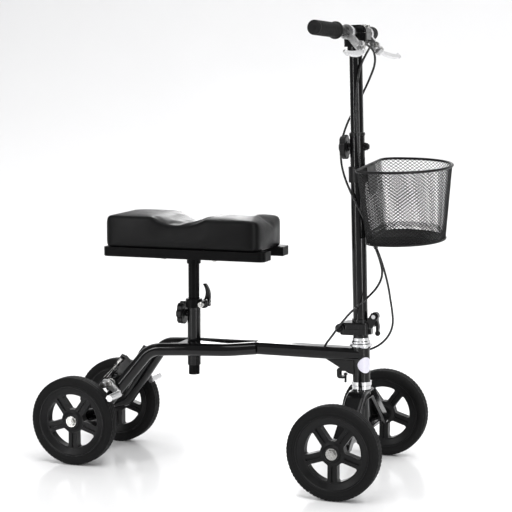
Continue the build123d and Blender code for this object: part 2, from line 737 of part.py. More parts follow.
with BuildPart() as fold_bolt:
    with BuildSketch(fold_side(PIN_X, PIN_Z)):
        Circle(4)
    extrude(amount=22.2, both=True)
    for side in (-1, 1):
        with BuildSketch(fold_side(PIN_X, PIN_Z, side * 22)):
            Circle(7)
        extrude(amount=-side * 2)
        with BuildSketch(fold_side(PIN_X, PIN_Z, side * 24)):
            RegularPolygon(6, 6)
        extrude(amount=-side * 4)
keep(fold_bolt.part, "fold_hinge_bolt")

with BuildPart() as latch_pin:
    with BuildSketch(steer_side):
        with Locations((BLOCK_FRONT + 11, 360)):
            Circle(2.5)
    extrude(amount=13, both=True)
    for side in (-1, 1):
        with BuildSketch(steer_side.offset(side * 12.2)):
            with Locations((BLOCK_FRONT + 11, 360)):
                Circle(4.5)
        extrude(amount=side * 2)
keep(latch_pin.part, "fold_latch_pin")

with BuildPart() as latch:
    # silver barrel on the pin, then the blade hanging in front of the block with a ball on its end
    with BuildSketch(steer_side):
        with Locations((BLOCK_FRONT + 11, 360)):
            Circle(9)
    extrude(amount=7.6, both=True)
    with BuildSketch(steer_side):
        with BuildLine():
            Polyline((BLOCK_FRONT + 8, 354), (BLOCK_FRONT + 17, 356), (BLOCK_FRONT + 21, 336),
                     (BLOCK_FRONT + 19, 324), (BLOCK_FRONT + 14, 324), (BLOCK_FRONT + 14, 338),
                     (BLOCK_FRONT + 8, 346), (BLOCK_FRONT + 8, 354))
        make_face()
    extrude(amount=6, both=True)
    fillet(latch.edges().filter_by(Axis.Y).sort_by(Axis.Z)[:2], 2)
    with Locations(Location(on_tiller(BLOCK_FRONT + 16.5, 0, 322))):
        Sphere(6)
    with BuildSketch(steer_side):
        with Locations((BLOCK_FRONT + 11, 360)):
            Circle(2.5 + RUN_FIT)
    extrude(amount=20, both=True, mode=Mode.SUBTRACT)
keep(latch.part, "fold_latch_lever")

# ---- tiller tubes
KNOB_AT = 731.0
with BuildPart() as tiller:
    with BuildSketch(steer.offset(347)):
        Circle(TILLER_R)
    extrude(amount=TILLER_TOP - 347)
    # bosses for the knob at the back and for the cap nut in front
    for side, reach in ((-1, 20), (1, 18)):
        with BuildSketch(Plane(origin=on_tiller(side * (TILLER_R - 3), 0, KNOB_AT), z_dir=steer.x_dir * side)):
            Circle(9)
        extrude(amount=reach - TILLER_R + 3)
    with BuildSketch(Plane(origin=on_tiller(-30, 0, KNOB_AT), z_dir=steer.x_dir)):
        Circle(4 + RUN_FIT)
    extrude(amount=30, mode=Mode.SUBTRACT)
    with BuildSketch(Plane(origin=on_tiller(30, 0, KNOB_AT), z_dir=-steer.x_dir)):
        Circle(3)
    extrude(amount=30, mode=Mode.SUBTRACT)
    with BuildSketch(steer.offset(346)):
        Circle(INNER_R + 0.08)
    extrude(amount=TILLER_TOP - 340, mode=Mode.SUBTRACT)
keep(tiller.part, "tiller_outer_tube")

with BuildPart() as bushing:
    with BuildSketch(steer.offset(TILLER_TOP)):
        Circle(TILLER_R + 1)
        Circle(INNER_R + 0.08, mode=Mode.SUBTRACT)
    extrude(amount=7)
    chamfer(bushing.edges().filter_by(GeomType.CIRCLE).sort_by(SortBy.RADIUS)[-1:], 1.2)
keep(bushing.part, "tiller_bushing")

make_star_knob(
    Plane(origin=on_tiller(-21, 0, KNOB_AT), x_dir=(0, 1, 0), z_dir=steer.x_dir), 21 - INNER_R - 0.5, "tiller_knob"
)

with BuildPart() as cap_nut:
    with BuildSketch(Plane(origin=on_tiller(18, 0, KNOB_AT), z_dir=steer.x_dir)):
        RegularPolygon(8, 6)
    extrude(amount=5)
    with BuildSketch(Plane(origin=on_tiller(23, 0, KNOB_AT), z_dir=steer.x_dir)):
        Circle(6.5)
    extrude(amount=4)
    fillet(cap_nut.faces().sort_by(Axis.X)[-1].edges(), 3.5)
    with BuildSketch(Plane(origin=on_tiller(18, 0, KNOB_AT), z_dir=-steer.x_dir)):
        Circle(3)
    extrude(amount=3)
keep(cap_nut.part, "tiller_cap_nut")

with BuildPart() as inner_tube:
    with BuildSketch(steer.offset(545)):
        Circle(INNER_R)
        Circle(INNER_R - 2, mode=Mode.SUBTRACT)
    extrude(amount=INNER_TOP - 545)
    # adjusting holes up the back
    for step in range(7):
        with BuildSketch(Plane(origin=on_tiller(-INNER_R - 3, 0, 770 + 25.4 * step), z_dir=steer.x_dir)):
            Circle(3.2)
        extrude(amount=8, mode=Mode.SUBTRACT)
keep(inner_tube.part, "tiller_inner_tube")

# ---- handlebar
CLAMP_REAR = -20.0
CLAMP_NOSE = 30.0
BAR_X = 6.0
with BuildPart() as stem:
    with BuildSketch(steer_side):
        with BuildLine():
            Polyline((CLAMP_REAR, 946), (CLAMP_NOSE - 14, 946), (CLAMP_NOSE, 960), (CLAMP_NOSE, BAR_AT - 0.5),
                     (CLAMP_REAR, BAR_AT - 0.5), (CLAMP_REAR, 946))
        make_face()
    extrude(amount=21, both=True)
    fillet(stem.edges().filter_by(steer_axis), 3)
    with BuildSketch(steer.offset(932)):
        Circle(INNER_R + 4)
    extrude(amount=16)
    with BuildSketch(steer_side):
        with BuildLine():
            Polyline((CLAMP_REAR, BAR_AT + 0.5), (CLAMP_NOSE, BAR_AT + 0.5), (CLAMP_NOSE, BAR_AT + 9),
                     (BAR_X + 12, BAR_AT + 17), (BAR_X - 12, BAR_AT + 17), (CLAMP_REAR, BAR_AT + 9),
                     (CLAMP_REAR, BAR_AT + 0.5))
        make_face()
    extrude(amount=21, both=True)
    with BuildSketch(steer.offset(930)):
        Circle(INNER_R)
    extrude(amount=INNER_TOP - 930, mode=Mode.SUBTRACT)
    with BuildSketch(steer_side):
        with Locations((BAR_X, BAR_AT)):
            Circle(BAR_R)
    extrude(amount=40, both=True, mode=Mode.SUBTRACT)
    for x in (CLAMP_REAR + 6, CLAMP_NOSE - 6):
        for y in (-14, 14):
            with BuildSketch(steer.offset(956)):
                with Locations((x, y)):
                    Circle(2.5)
            extrude(amount=50, mode=Mode.SUBTRACT)
keep(stem.part, "handlebar_clamp")

with BuildPart() as stem_bolts:
    for x in (CLAMP_REAR + 6, CLAMP_NOSE - 6):
        for y in (-14, 14):
            with BuildSketch(steer.offset(956)):
                with Locations((x, y)):
                    Circle(2.5)
            extrude(amount=32)
            with BuildSketch(steer.offset(BAR_AT + 12.5)):
                with Locations((x, y)):
                    Circle(4.5)
                    RegularPolygon(2.4, 6, mode=Mode.SUBTRACT)
            extrude(amount=4.5)
    stems = stem_bolts.part - stem.part
keep(stems, "handlebar_clamp_bolts")

bar_route = [(BAR_X, 0, BAR_AT), (BAR_X, 60, BAR_AT), (-9, 108, 978), (-24, 216, 981.5)]
bar_points = [on_tiller(*p) for p in bar_route]
with BuildPart() as bar:
    with BuildLine() as bar_line:
        FilletPolyline(*bar_points, radius=[60, 90])
    with BuildSketch(Plane(origin=bar_points[0], z_dir=(0, 1, 0))):
        Circle(BAR_R)
        Circle(BAR_R - 2, mode=Mode.SUBTRACT)
    sweep(path=bar_line.wires()[0])
    mirror(bar.part, about=Plane.XZ)
keep(bar.part, "handlebar")

grip_dir = (bar_points[3] - bar_points[2]).normalized()
with BuildPart() as grips:
    with BuildSketch(Plane(origin=bar_points[3] - grip_dir * 104, z_dir=grip_dir)):
        Circle(15.5)
    extrude(amount=108)
    fillet(grips.faces().sort_by(Axis.Y)[-1].edges(), 4)
    with BuildSketch(Plane(origin=bar_points[3] - grip_dir * 104, z_dir=grip_dir)):
        Circle(18.5)
    extrude(amount=5)
    mirror(grips.part, about=Plane.XZ)
keep(grips.part - bar.part, "handlebar_grips")


# ---- brake levers: each lies in a plane that holds its pivot and faces up and forward
LEVER_Y = 74.0
PULL = radians(51.5)  # from level, the slope of the line from the bar down to the lever


def tiller_dir(x, y, z):
    """A direction given forward, left and up along the steering axis."""
    return (steer.x_dir * x + Vector(0, y, 0) + steer.z_dir * z).normalized()


def lever_plane(side):
    """Local x is outward along the lever, local y is towards the bar on the left and away on the right."""
    return Plane(
        origin=on_tiller(33, side * LEVER_Y, 938),
        x_dir=(0, side, 0),
        z_dir=tiller_dir(sin(PULL), 0, cos(PULL)),
    )


with BuildPart() as perches:
    for side in (-1, 1):
        away = -side  # local y sign that points away from the bar
        # clamp ring round the bar
        with BuildSketch(Plane(origin=on_tiller(BAR_X - 3, side * 74, BAR_AT + 0.5), z_dir=(0, side, 0))):
            Circle(BAR_R + 4.5)
        extrude(amount=7, both=True)
        # arm from the ring to the lever pivot, with a fork for the lever
        with BuildSketch(lever_plane(side)):
            with Locations((0, -away * 24)):
                Rectangle(15, 44)
            Circle(8.5)
        extrude(amount=7, both=True)
        with BuildSketch(lever_plane(side)):
            with Locations((4, 0)):
                Rectangle(32, 22)
        extrude(amount=3.4, both=True, mode=Mode.SUBTRACT)
        with BuildSketch(lever_plane(side)):
            Circle(2.5)
        extrude(amount=20, both=True, mode=Mode.SUBTRACT)
        # cable stop facing the middle of the bar
        with BuildSketch(Plane(origin=on_tiller(30, side * 69.5, 951), z_dir=(0, -side, 0))):
            Circle(6)
        extrude(amount=10.5)
perches_solid = perches.part - bar.part
keep(perches_solid, "brake_lever_perches")

with BuildPart() as adjusters:
    for side in (-1, 1):
        with BuildSketch(Plane(origin=on_tiller(30, side * 59, 951), z_dir=(0, -side, 0))):
            Circle(4.5)
        extrude(amount=5)
        with BuildSketch(Plane(origin=on_tiller(30, side * 54, 951), z_dir=(0, -side, 0))):
            Circle(3.5)
        extrude(amount=10)
keep(adjusters.part, "brake_lever_adjusters")

with BuildPart() as pivots:
    for side in (-1, 1):
        with BuildSketch(lever_plane(side)):
            Circle(2.5)
        extrude(amount=8, both=True)
        for face in (-1, 1):
            with BuildSketch(lever_plane(side).offset(face * 7)):
                Circle(4.5)
            extrude(amount=face * 2.5)
keep(pivots.part, "brake_lever_pivots")

for hand, side in (("right", -1), ("left", 1)):
    away = -side
    with BuildPart() as lever:
        with BuildSketch(lever_plane(side)):
            Circle(7.5)
            with BuildLine():
                Polyline((-6, away * 4), (2, away * 7.5), (24, away * 15))
                ThreePointArc((24, away * 15), (78, away * 20), (134, away * 16))
                Line((134, away * 16), (134, away * 8))
                ThreePointArc((134, away * 8), (80, away * 8.5), (26, away * 3))
                Polyline((26, away * 3), (6, -away * 5), (-6, away * 4))
            make_face()
        extrude(amount=3.1, both=True)
        with BuildSketch(lever_plane(side)):
            with Locations((136, away * 12)):
                Circle(7)
        extrude(amount=3.1, both=True)
        fillet(lever.edges().filter_by(GeomType.CIRCLE).group_by(Axis.Y)[-1 if side > 0 else 0], 1.5)
        with BuildSketch(lever_plane(side)):
            Circle(2.5 + RUN_FIT)
        extrude(amount=20, both=True, mode=Mode.SUBTRACT)
    keep(lever.part, f"brake_lever_{hand}")

# ================================================================ basket
BASKET_RIM = 693.0
BASKET_LOW = 533.0
BASKET_REAR = REAR_X + 658
BASKET_FRONT = REAR_X + BASKET_REACH
BASKET_HALF = 127.0
BASKET_TAPER = 0.84
BASKET_ROLL = 4.0
WALL = 3.0


def basket_outline(level, scale, inset):
    """The basket's plan at one height: flat towards the tiller and rounded in front."""
    half = BASKET_HALF * scale - inset
    deep = (BASKET_FRONT - BASKET_REAR) * scale - 2 * inset
    middle = (BASKET_FRONT + BASKET_REAR) / 2
    rear = middle - deep / 2
    with BuildSketch(Plane.XY.offset(level)) as plan:
        with BuildLine():
            Line((rear, -half + 34), (rear, half - 34))
            RadiusArc((rear, half - 34), (rear + 34, half), 34)
            Line((rear + 34, half), (rear + 52, half))
            ThreePointArc((rear + 52, half), (rear + deep, 0), (rear + 52, -half))
            Line((rear + 52, -half), (rear + 34, -half))
            RadiusArc((rear + 34, -half), (rear, -half + 34), 34)
        make_face()
    return plan.sketch


with BuildPart() as basket:
    add(basket_outline(BASKET_LOW, BASKET_TAPER, 0))
    add(basket_outline(BASKET_RIM, 1, 0))
    loft()
with BuildPart() as basket_room:
    add(basket_outline(BASKET_LOW + WALL, BASKET_TAPER, WALL))
    add(basket_outline(BASKET_RIM + 0.01, 1, WALL))
    loft()
# it hangs a little lower on its right side
basket_solid = (basket.part - basket_room.part).rotate(Axis((0, 0, BASKET_RIM - 20), (1, 0, 0)), BASKET_ROLL)
keep(basket_solid, "basket")

HOOK_AT = 676.0
with BuildPart() as basket_bracket:
    # clamp band round the tiller and a block in front of it that the basket hooks over
    with BuildSketch(steer.offset(HOOK_AT - 22)):
        Circle(TILLER_R + 4)
    extrude(amount=34)
    with BuildSketch(steer.offset(HOOK_AT - 22)):
        with Locations((TILLER_R, 0)):
            Rectangle(BASKET_REAR - 1 - on_tiller(TILLER_R, 0, HOOK_AT + 20).X, 36, align=(Align.MIN, Align.CENTER))
    extrude(amount=34)
    with BuildSketch(steer.offset(HOOK_AT - 40)):
        Circle(TILLER_R)
    extrude(amount=80, mode=Mode.SUBTRACT)
keep(basket_bracket.part, "basket_bracket")

# ================================================================ rear brakes
for hand, side in (("right", -1), ("left", 1)):
    plane = across(BRAKE_X, BRAKE_Z, side * ARM_Y)
    with BuildPart() as arm:
        # bell crank: the cable pulls the short arm up, and the shoe on the long arm meets the tyre
        with BuildSketch(plane):
            with BuildLine():
                Polyline((-20, 0), (-14, -9), (0, -9.5), (9, -4), (27, 14), (27, 26), (18, 26), (-4, 9), (-16, 12),
                         (-20, 0))
            make_face()
            with Locations((-15, 4)):
                Circle(8)
        extrude(amount=2, both=True)
        # cable anchor on the short arm
        with BuildSketch(across(BRAKE_X - 15, BRAKE_Z - 4, side * ARM_Y)):
            Circle(6.5)
        extrude(amount=side * 6)
        with BuildSketch(plane):
            Circle(3 + RUN_FIT)
        extrude(amount=20, both=True, mode=Mode.SUBTRACT)
        # shoe: a ribbed bar across the tread
        with BuildSketch(across(SHOE_X, SHOE_Z, side * (ARM_Y - 1))):
            with Locations(Rotation(0, 0, 57)):
                RectangleRounded(15, 13, 5)
        extrude(amount=side * 51)
    keep(arm.part, f"rear_brake_{hand}")

with BuildPart() as brake_pivots:
    for side in (-1, 1):
        with BuildSketch(across(BRAKE_X, BRAKE_Z, side * 70)):
            Circle(3)
        extrude(amount=side * (ARM_Y + 2.2 - 70))
        with BuildSketch(across(BRAKE_X, BRAKE_Z, side * (ARM_Y + 2.2))):
            Circle(6.5)
        extrude(amount=side * 4)
    fillet(brake_pivots.edges().group_by(Axis.Y)[0], 1.5)
    fillet(brake_pivots.edges().group_by(Axis.Y)[-1], 1.5)
keep(brake_pivots.part, "brake_pivot_bolts")

with BuildPart() as brake_springs:
    for side in (-1, 1):
        with BuildSketch(across(BRAKE_X, BRAKE_Z, side * (ARM_Y - 10))):
            Circle(11)
            Circle(9.2, mode=Mode.SUBTRACT)
        extrude(amount=side * 7)
keep(brake_springs.part - rails_solid, "brake_return_springs")

with BuildPart() as rear_adjusters:
    for side in (-1, 1):
        # barrel on the plate's top end, pointing down the leg, with the two strands of the inner wire
        top = Vector(BRAKE_X + 21, side * 66.5, BRAKE_Z + 56)
        down = Vector(-0.61, 0, -0.79)
        with BuildSketch(Plane(origin=top, z_dir=down)):
            Circle(4.5)
        extrude(amount=8)
        with BuildSketch(Plane(origin=top + down * 7, z_dir=down)):
            RegularPolygon(4, 6)
        extrude(amount=7)
        for end_x in (-17, -9):
            start = top + down * 13
            finish = Vector(BRAKE_X + end_x, side * 84, BRAKE_Z + 12)
            with BuildSketch(Plane(origin=start, z_dir=finish - start)):
                Circle(0.8)
            extrude(amount=(finish - start).length)
keep(rear_adjusters.part - rails_solid, "rear_brake_adjusters")

with BuildPart() as stop_bracket:
    # a hooked plate behind the foot of the head tube, with its bolt
    with BuildSketch(fold_side(REAR_X, 0)):
        with BuildLine():
            Polyline((634, 226), (601, 226), (597, 222), (597, 206), (601, 202), (613, 202), (613, 207), (604, 207),
                     (604, 219), (634, 219), (634, 226))
        make_face()
    extrude(amount=8, both=True)
    with BuildSketch(Plane.XY.offset(209)):
        with Locations((REAR_X + 609, 0)):
            Circle(2.5)
    extrude(amount=22)
    with BuildSketch(Plane.XY.offset(226)):
        with Locations((REAR_X + 609, 0)):
            RegularPolygon(4.6, 6)
    extrude(amount=3.5)
keep(stop_bracket.part - beam.part, "steering_stop_bracket")


# ================================================================ brake cables
# Each housing runs from its lever, down the tiller, through a clip and on into the frame. It is cut where it
# passes from one moving part to the next. Points are forward of the rear axle, left and up.
exit_point = on_tiller(30, 0, 951)
EXIT_X = exit_point.X - REAR_X
EXIT_Z = exit_point.Z
left_cable = [
    (EXIT_X, 44, EXIT_Z), (EXIT_X, 24, EXIT_Z), (652, 2, 936), (641, -18, 903), (635.5, -23, 858),
    (635.8, -23.6, 800),
    (639, -23.4, 742), (645, -23, 690), (651, -20, 640), (655, -9, 592), (660, 2, 548), (674, 3.4, 515),
]
right_cable = [
    (EXIT_X, -44, EXIT_Z), (EXIT_X, -27, EXIT_Z), (668, -3, 939), (668, 12, 912), (654, 23, 882), (637, 28.5, 849),
    (620, 29, 818), (602, 30, 786), (589, 32, 752), (585, 31, 722), (589, 21, 693), (603, 1, 664),
    (622, -20.5, 636), (641, -24, 602), (655, -17, 572), (663, -6, 544), (675, -3.4, 513),
]


def straight_on(route, distance):
    """The point that carries on in line from the end of a route."""
    last = Vector(*route[-1])
    ahead = last + (last - Vector(*route[-2])).normalized() * distance
    return (ahead.X, ahead.Y, ahead.Z)


left_middle = [left_cable[-1], straight_on(left_cable, 26), (696, 4.6, 456), (703, 8, 424), (707, 13, 392)]
right_middle = [right_cable[-1], straight_on(right_cable, 26), (694, -5, 456), (686, -15, 429), (667, -27, 406),
                (643, -32, 384)]
left_lower = [left_middle[-1], straight_on(left_middle, 24), (711, 21, 342), (702, 25, 317),
              (684, 28, 296), (661, 28, 282), (636, 25, 276), (618, 18, 275)]
right_lower = [right_middle[-1], straight_on(right_middle, 24), (602, -34, 338), (582, -24, 312),
               (568, -11, 297), (563, -10, 288)]


def make_cable(points):
    """A round housing along straight runs joined by tangent arcs, each as large as its two runs allow."""
    stops = [Vector(REAR_X + x, y, z) for x, y, z in points]
    runs = [b - a for a, b in zip(stops, stops[1:])]
    radii = []
    for before, after in zip(runs, runs[1:]):
        turn = radians(before.get_angle(after))
        radii.append(0.45 * min(before.length, after.length) / tan(turn / 2))
    with BuildPart() as cable:
        with BuildLine() as line:
            FilletPolyline(*stops, radius=radii)
        with BuildSketch(Plane(origin=stops[0], z_dir=runs[0])):
            Circle(CABLE_R)
        sweep(path=line.wires()[0])
    return cable.part


with BuildPart() as upper_cables:
    add(make_cable(left_cable))
    add(make_cable(right_cable))
keep(upper_cables.part, "brake_cables_upper")

with BuildPart() as middle_cables:
    add(make_cable(left_middle))
    add(make_cable(right_middle))
    # clip that holds the two housings together
    with BuildSketch(Plane(origin=(REAR_X + 681, 0, 501), z_dir=(12.5, 0, -27.5))):
        RectangleRounded(15, 9, 3, rotation=90)
    extrude(amount=8)
keep(middle_cables.part, "brake_cables_middle")

with BuildPart() as lower_cables:
    add(make_cable(left_lower))
    add(make_cable(right_lower))
    # grommets where the housings enter the beam
    with BuildSketch(Plane.XY.offset(BEAM_HIGH)):
        with Locations((REAR_X + ENTRY_TOP_X, -10)):
            Circle(5)
    extrude(amount=3)
    with BuildSketch(across(0, 0, BEAM_WIDE / 2)):
        with Locations((REAR_X + ENTRY_SIDE_X, -275)):
            Circle(5)
    extrude(amount=3)
keep(lower_cables.part - beam.part, "brake_cables_lower")
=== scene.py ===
"""Looks of the knee scooter: materials for every node, a padded knee rest, a wire basket, tyres with tread,
brake cables, springs and grips, a plain floor, soft studio lights and the camera. Metres, in the row frame:
+X forward, +Y the rider's left, +Z up."""

from math import atan2, cos, hypot, pi, radians, sin

import bpy
from mathutils import Matrix, Vector


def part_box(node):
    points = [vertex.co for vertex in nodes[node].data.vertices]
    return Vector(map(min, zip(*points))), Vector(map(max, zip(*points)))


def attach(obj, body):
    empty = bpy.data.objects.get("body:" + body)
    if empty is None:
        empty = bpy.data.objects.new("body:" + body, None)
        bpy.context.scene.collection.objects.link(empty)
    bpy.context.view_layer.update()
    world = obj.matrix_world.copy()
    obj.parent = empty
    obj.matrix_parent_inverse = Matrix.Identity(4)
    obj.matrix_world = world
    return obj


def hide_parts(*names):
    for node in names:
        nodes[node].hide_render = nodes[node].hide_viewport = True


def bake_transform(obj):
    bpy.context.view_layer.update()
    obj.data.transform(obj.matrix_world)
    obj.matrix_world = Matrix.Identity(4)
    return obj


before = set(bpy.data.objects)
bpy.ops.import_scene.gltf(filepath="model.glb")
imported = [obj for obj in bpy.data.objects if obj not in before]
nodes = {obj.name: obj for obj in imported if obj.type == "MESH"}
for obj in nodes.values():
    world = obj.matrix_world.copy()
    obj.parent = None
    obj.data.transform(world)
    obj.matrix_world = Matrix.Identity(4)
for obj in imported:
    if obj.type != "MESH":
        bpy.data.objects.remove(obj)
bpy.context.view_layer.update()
MM = 0.001


# ================================================================ driving sizes, in metres
TYRE_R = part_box("rear_left_tyre")[1][2] / 2
REAR_X = sum(c[0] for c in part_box("rear_left_tyre")) / 2
RAKE = radians(1.55)
STEER_FOOT_X = REAR_X + 0.6518
FORWARD = Vector((cos(RAKE), 0, sin(RAKE)))
LEFT = Vector((0, 1, 0))
UP = Vector((-sin(RAKE), 0, cos(RAKE)))


def on_tiller(x, y, z):
    """A point given forward of, left of and up along the steering axis, in metres."""
    return Vector((STEER_FOOT_X, 0, 0)) + FORWARD * x + LEFT * y + UP * z


# ================================================================ materials
TONE_DETAIL = 5.0
GRAIN_DETAIL = 3.0
ROUGHNESS_SPAN = (0.3, 0.7)  # the part of the noise that roughness follows
COAT_ROUGHNESS = 0.08
TONE_A, TONE_B, TONE_OUT = 6, 7, 2  # the colour sockets of a mix node


def surface(name, tones, rough, metal=0.0, scale=60.0, stretch=(1, 1, 1), grain=(), coat=0.0, specular=0.5):
    """A procedural material: two tones mixed by noise, roughness that wanders between two values, and bumps.

    grain holds (kind, scale, height in metres, strength) for each layer of bump. kind is noise or cells.
    """
    mat = bpy.data.materials.new(name)
    mat.use_nodes = True
    tree = mat.node_tree
    shader = tree.nodes["Principled BSDF"]
    link = tree.links.new

    def node(kind, **values):
        made = tree.nodes.new(kind)
        for key, value in values.items():
            setattr(made, key, value)
        return made

    place = node("ShaderNodeTexCoord")
    mapping = node("ShaderNodeMapping")
    mapping.inputs["Scale"].default_value = stretch
    link(place.outputs["Object"], mapping.inputs["Vector"])
    noise = node("ShaderNodeTexNoise")
    noise.inputs["Scale"].default_value = scale
    noise.inputs["Detail"].default_value = TONE_DETAIL
    link(mapping.outputs["Vector"], noise.inputs["Vector"])
    mix = node("ShaderNodeMix", data_type="RGBA")
    mix.inputs[TONE_A].default_value = (*tones[0], 1)
    mix.inputs[TONE_B].default_value = (*tones[1], 1)
    link(noise.outputs["Fac"], mix.inputs[0])
    link(mix.outputs[TONE_OUT], shader.inputs["Base Color"])
    spread = node("ShaderNodeMapRange")
    spread.inputs["From Min"].default_value = ROUGHNESS_SPAN[0]
    spread.inputs["From Max"].default_value = ROUGHNESS_SPAN[1]
    spread.inputs["To Min"].default_value = rough[0]
    spread.inputs["To Max"].default_value = rough[1]
    link(noise.outputs["Fac"], spread.inputs["Value"])
    link(spread.outputs["Result"], shader.inputs["Roughness"])
    shader.inputs["Metallic"].default_value = metal
    shader.inputs["Specular IOR Level"].default_value = specular
    shader.inputs["Coat Weight"].default_value = coat
    shader.inputs["Coat Roughness"].default_value = COAT_ROUGHNESS
    normal = None
    for kind, size, height, strength in grain:
        if kind == "noise":
            texture = node("ShaderNodeTexNoise")
            texture.inputs["Detail"].default_value = GRAIN_DETAIL
            value = texture.outputs["Fac"]
        else:
            texture = node("ShaderNodeTexVoronoi")
            value = texture.outputs["Distance"]
        texture.inputs["Scale"].default_value = size
        link(mapping.outputs["Vector"], texture.inputs["Vector"])
        bump = node("ShaderNodeBump")
        bump.inputs["Distance"].default_value = height
        bump.inputs["Strength"].default_value = strength
        link(value, bump.inputs["Height"])
        if normal is not None:
            link(normal, bump.inputs["Normal"])
        normal = bump.outputs["Normal"]
    if normal is not None:
        link(normal, shader.inputs["Normal"])
    return mat


gloss_black = surface(
    "gloss_black_paint", ((0.0030, 0.0030, 0.0033), (0.0055, 0.0055, 0.006)), (0.09, 0.16), scale=35,
    grain=[("noise", 260, 0.00006, 0.25)], coat=0.25, specular=0.2,
)
satin_black = surface(
    "satin_black_paint", ((0.0025, 0.0025, 0.0027), (0.0050, 0.0050, 0.0053)), (0.22, 0.32), scale=90,
    grain=[("noise", 900, 0.00008, 0.3)], specular=0.22,
)
matte_black = surface(
    "matte_black_paint", ((0.0016, 0.0016, 0.0017), (0.0034, 0.0034, 0.0036)), (0.34, 0.46), scale=80,
    grain=[("noise", 900, 0.00008, 0.3)], specular=0.08,
)
zinc = surface(
    "zinc_plated_steel", ((0.34, 0.335, 0.325), (0.52, 0.515, 0.50)), (0.2, 0.36), metal=1.0, scale=220,
    grain=[("noise", 1500, 0.00005, 0.3)],
)
chrome = surface(
    "chrome_plate", ((0.70, 0.70, 0.71), (0.80, 0.80, 0.81)), (0.05, 0.12), metal=1.0, scale=120,
    grain=[("noise", 500, 0.00003, 0.15)],
)
alloy = surface(
    "cast_alloy", ((0.55, 0.55, 0.555), (0.68, 0.68, 0.685)), (0.24, 0.4), metal=1.0, scale=160,
    grain=[("noise", 1100, 0.00006, 0.35)], stretch=(1, 0.25, 1),
)
wheel_plastic = surface(
    "wheel_plastic", ((0.0045, 0.0045, 0.0048), (0.0080, 0.0080, 0.0084)), (0.34, 0.48), scale=70,
    grain=[("noise", 1400, 0.00012, 0.4)], specular=0.18,
)
tyre_rubber = surface(
    "tyre_rubber", ((0.0035, 0.0035, 0.0037), (0.0070, 0.0070, 0.0072)), (0.56, 0.72), scale=45,
    grain=[("noise", 900, 0.0002, 0.5)], specular=0.14,
)
grip_rubber = surface(
    "grip_rubber", ((0.0055, 0.0055, 0.0057), (0.0095, 0.0095, 0.0097)), (0.5, 0.66), scale=120,
    grain=[("noise", 1600, 0.00015, 0.5)], specular=0.18,
)
knob_plastic = surface(
    "knob_plastic", ((0.0045, 0.0045, 0.0048), (0.0080, 0.0080, 0.0084)), (0.28, 0.42), scale=110,
    grain=[("noise", 1300, 0.0001, 0.4)], specular=0.25,
)
vinyl = surface(
    "black_vinyl", ((0.0022, 0.0022, 0.0024), (0.0045, 0.0045, 0.0048)), (0.34, 0.46), scale=28,
    grain=[("cells", 420, 0.00025, 0.45), ("noise", 60, 0.0006, 0.25)], specular=0.12,
)
board_black = surface(
    "board_cover", ((0.0018, 0.0018, 0.0019), (0.0032, 0.0032, 0.0034)), (0.4, 0.52), scale=40,
    grain=[("noise", 500, 0.0002, 0.35)], specular=0.06,
)
wire_black = surface(
    "coated_wire", ((0.0050, 0.0050, 0.0053), (0.0090, 0.0090, 0.0094)), (0.3, 0.45), scale=150,
    grain=[("noise", 900, 0.0001, 0.3)], specular=0.22,
)
cable_black = surface(
    "cable_housing", ((0.0065, 0.0065, 0.007), (0.011, 0.011, 0.0115)), (0.2, 0.3), scale=90,
    grain=[("noise", 700, 0.00005, 0.3)],
)
badge_lilac = surface(
    "blank_badge", ((0.72, 0.70, 0.82), (0.84, 0.83, 0.92)), (0.12, 0.2), scale=60, coat=0.5,
    grain=[("noise", 400, 0.00002, 0.2)],
)
node_materials = {
    gloss_black: (
        "main_beam", "side_rails", "seat_bracket", "fork", "rear_axle_tube", "tiller_outer_tube",
        "tiller_inner_tube", "handlebar", "handlebar_clamp", "fold_block_lower", "fold_block_upper",
        "steering_stop_bracket",
    ),
    satin_black: ("seat_clamp_lever", "tiller_cap_nut", "fold_latch_lever", "fold_hinge_bolt"),
    matte_black: ("seat_post", "seat_mount_plate", "seat_clamp_collar"),
    zinc: (
        "front_axle_bolts", "rear_axle_bolts", "handlebar_clamp_bolts", "seat_bolts", "seat_clamp_bolt",
        "brake_pivot_bolts", "brake_lever_pivots", "brake_lever_adjusters", "rear_brake_adjusters",
        "brake_return_springs",
    ),
    chrome: (
        "fold_latch_pin", "headset_cups", "headset_rings", "headset_bearings", "front_wheel_bearings",
        "rear_wheel_bearings",
    ),
    alloy: (
        "brake_lever_left", "brake_lever_right", "brake_lever_perches", "rear_brake_left", "rear_brake_right",
    ),
    wheel_plastic: ("front_left_rim", "front_right_rim", "rear_left_rim", "rear_right_rim"),
    tyre_rubber: ("front_left_tyre", "front_right_tyre", "rear_left_tyre", "rear_right_tyre"),
    grip_rubber: ("handlebar_grips",),
    knob_plastic: ("seat_height_knob", "tiller_knob", "tiller_bushing", "basket_bracket"),
    vinyl: ("seat_cushion",),
    board_black: ("seat_base_board",),
    wire_black: ("basket",),
    cable_black: ("brake_cables_upper", "brake_cables_middle", "brake_cables_lower"),
    badge_lilac: ("head_badge",),
}
for mat, names in node_materials.items():
    for name in names:
        for place in nodes[name].material_slots:
            place.material = mat


# ================================================================ mesh helpers
def make_piece(name, points, faces, mat, smooth=True):
    """A mesh object from points and faces."""
    mesh = bpy.data.meshes.new(name)
    mesh.from_pydata([tuple(p) for p in points], [], faces)
    mesh.validate()
    mesh.update()
    for face in mesh.polygons:
        face.use_smooth = smooth
    piece = bpy.data.objects.new(name, mesh)
    bpy.context.scene.collection.objects.link(piece)
    mesh.materials.append(mat)
    return piece


def apply_modifiers(piece):
    """Turns a piece's modifiers into mesh."""
    bpy.context.view_layer.update()
    graph = bpy.context.evaluated_depsgraph_get()
    finished = bpy.data.meshes.new_from_object(piece.evaluated_get(graph))
    old = piece.data
    piece.modifiers.clear()
    piece.data = finished
    bpy.data.meshes.remove(old)
    return piece


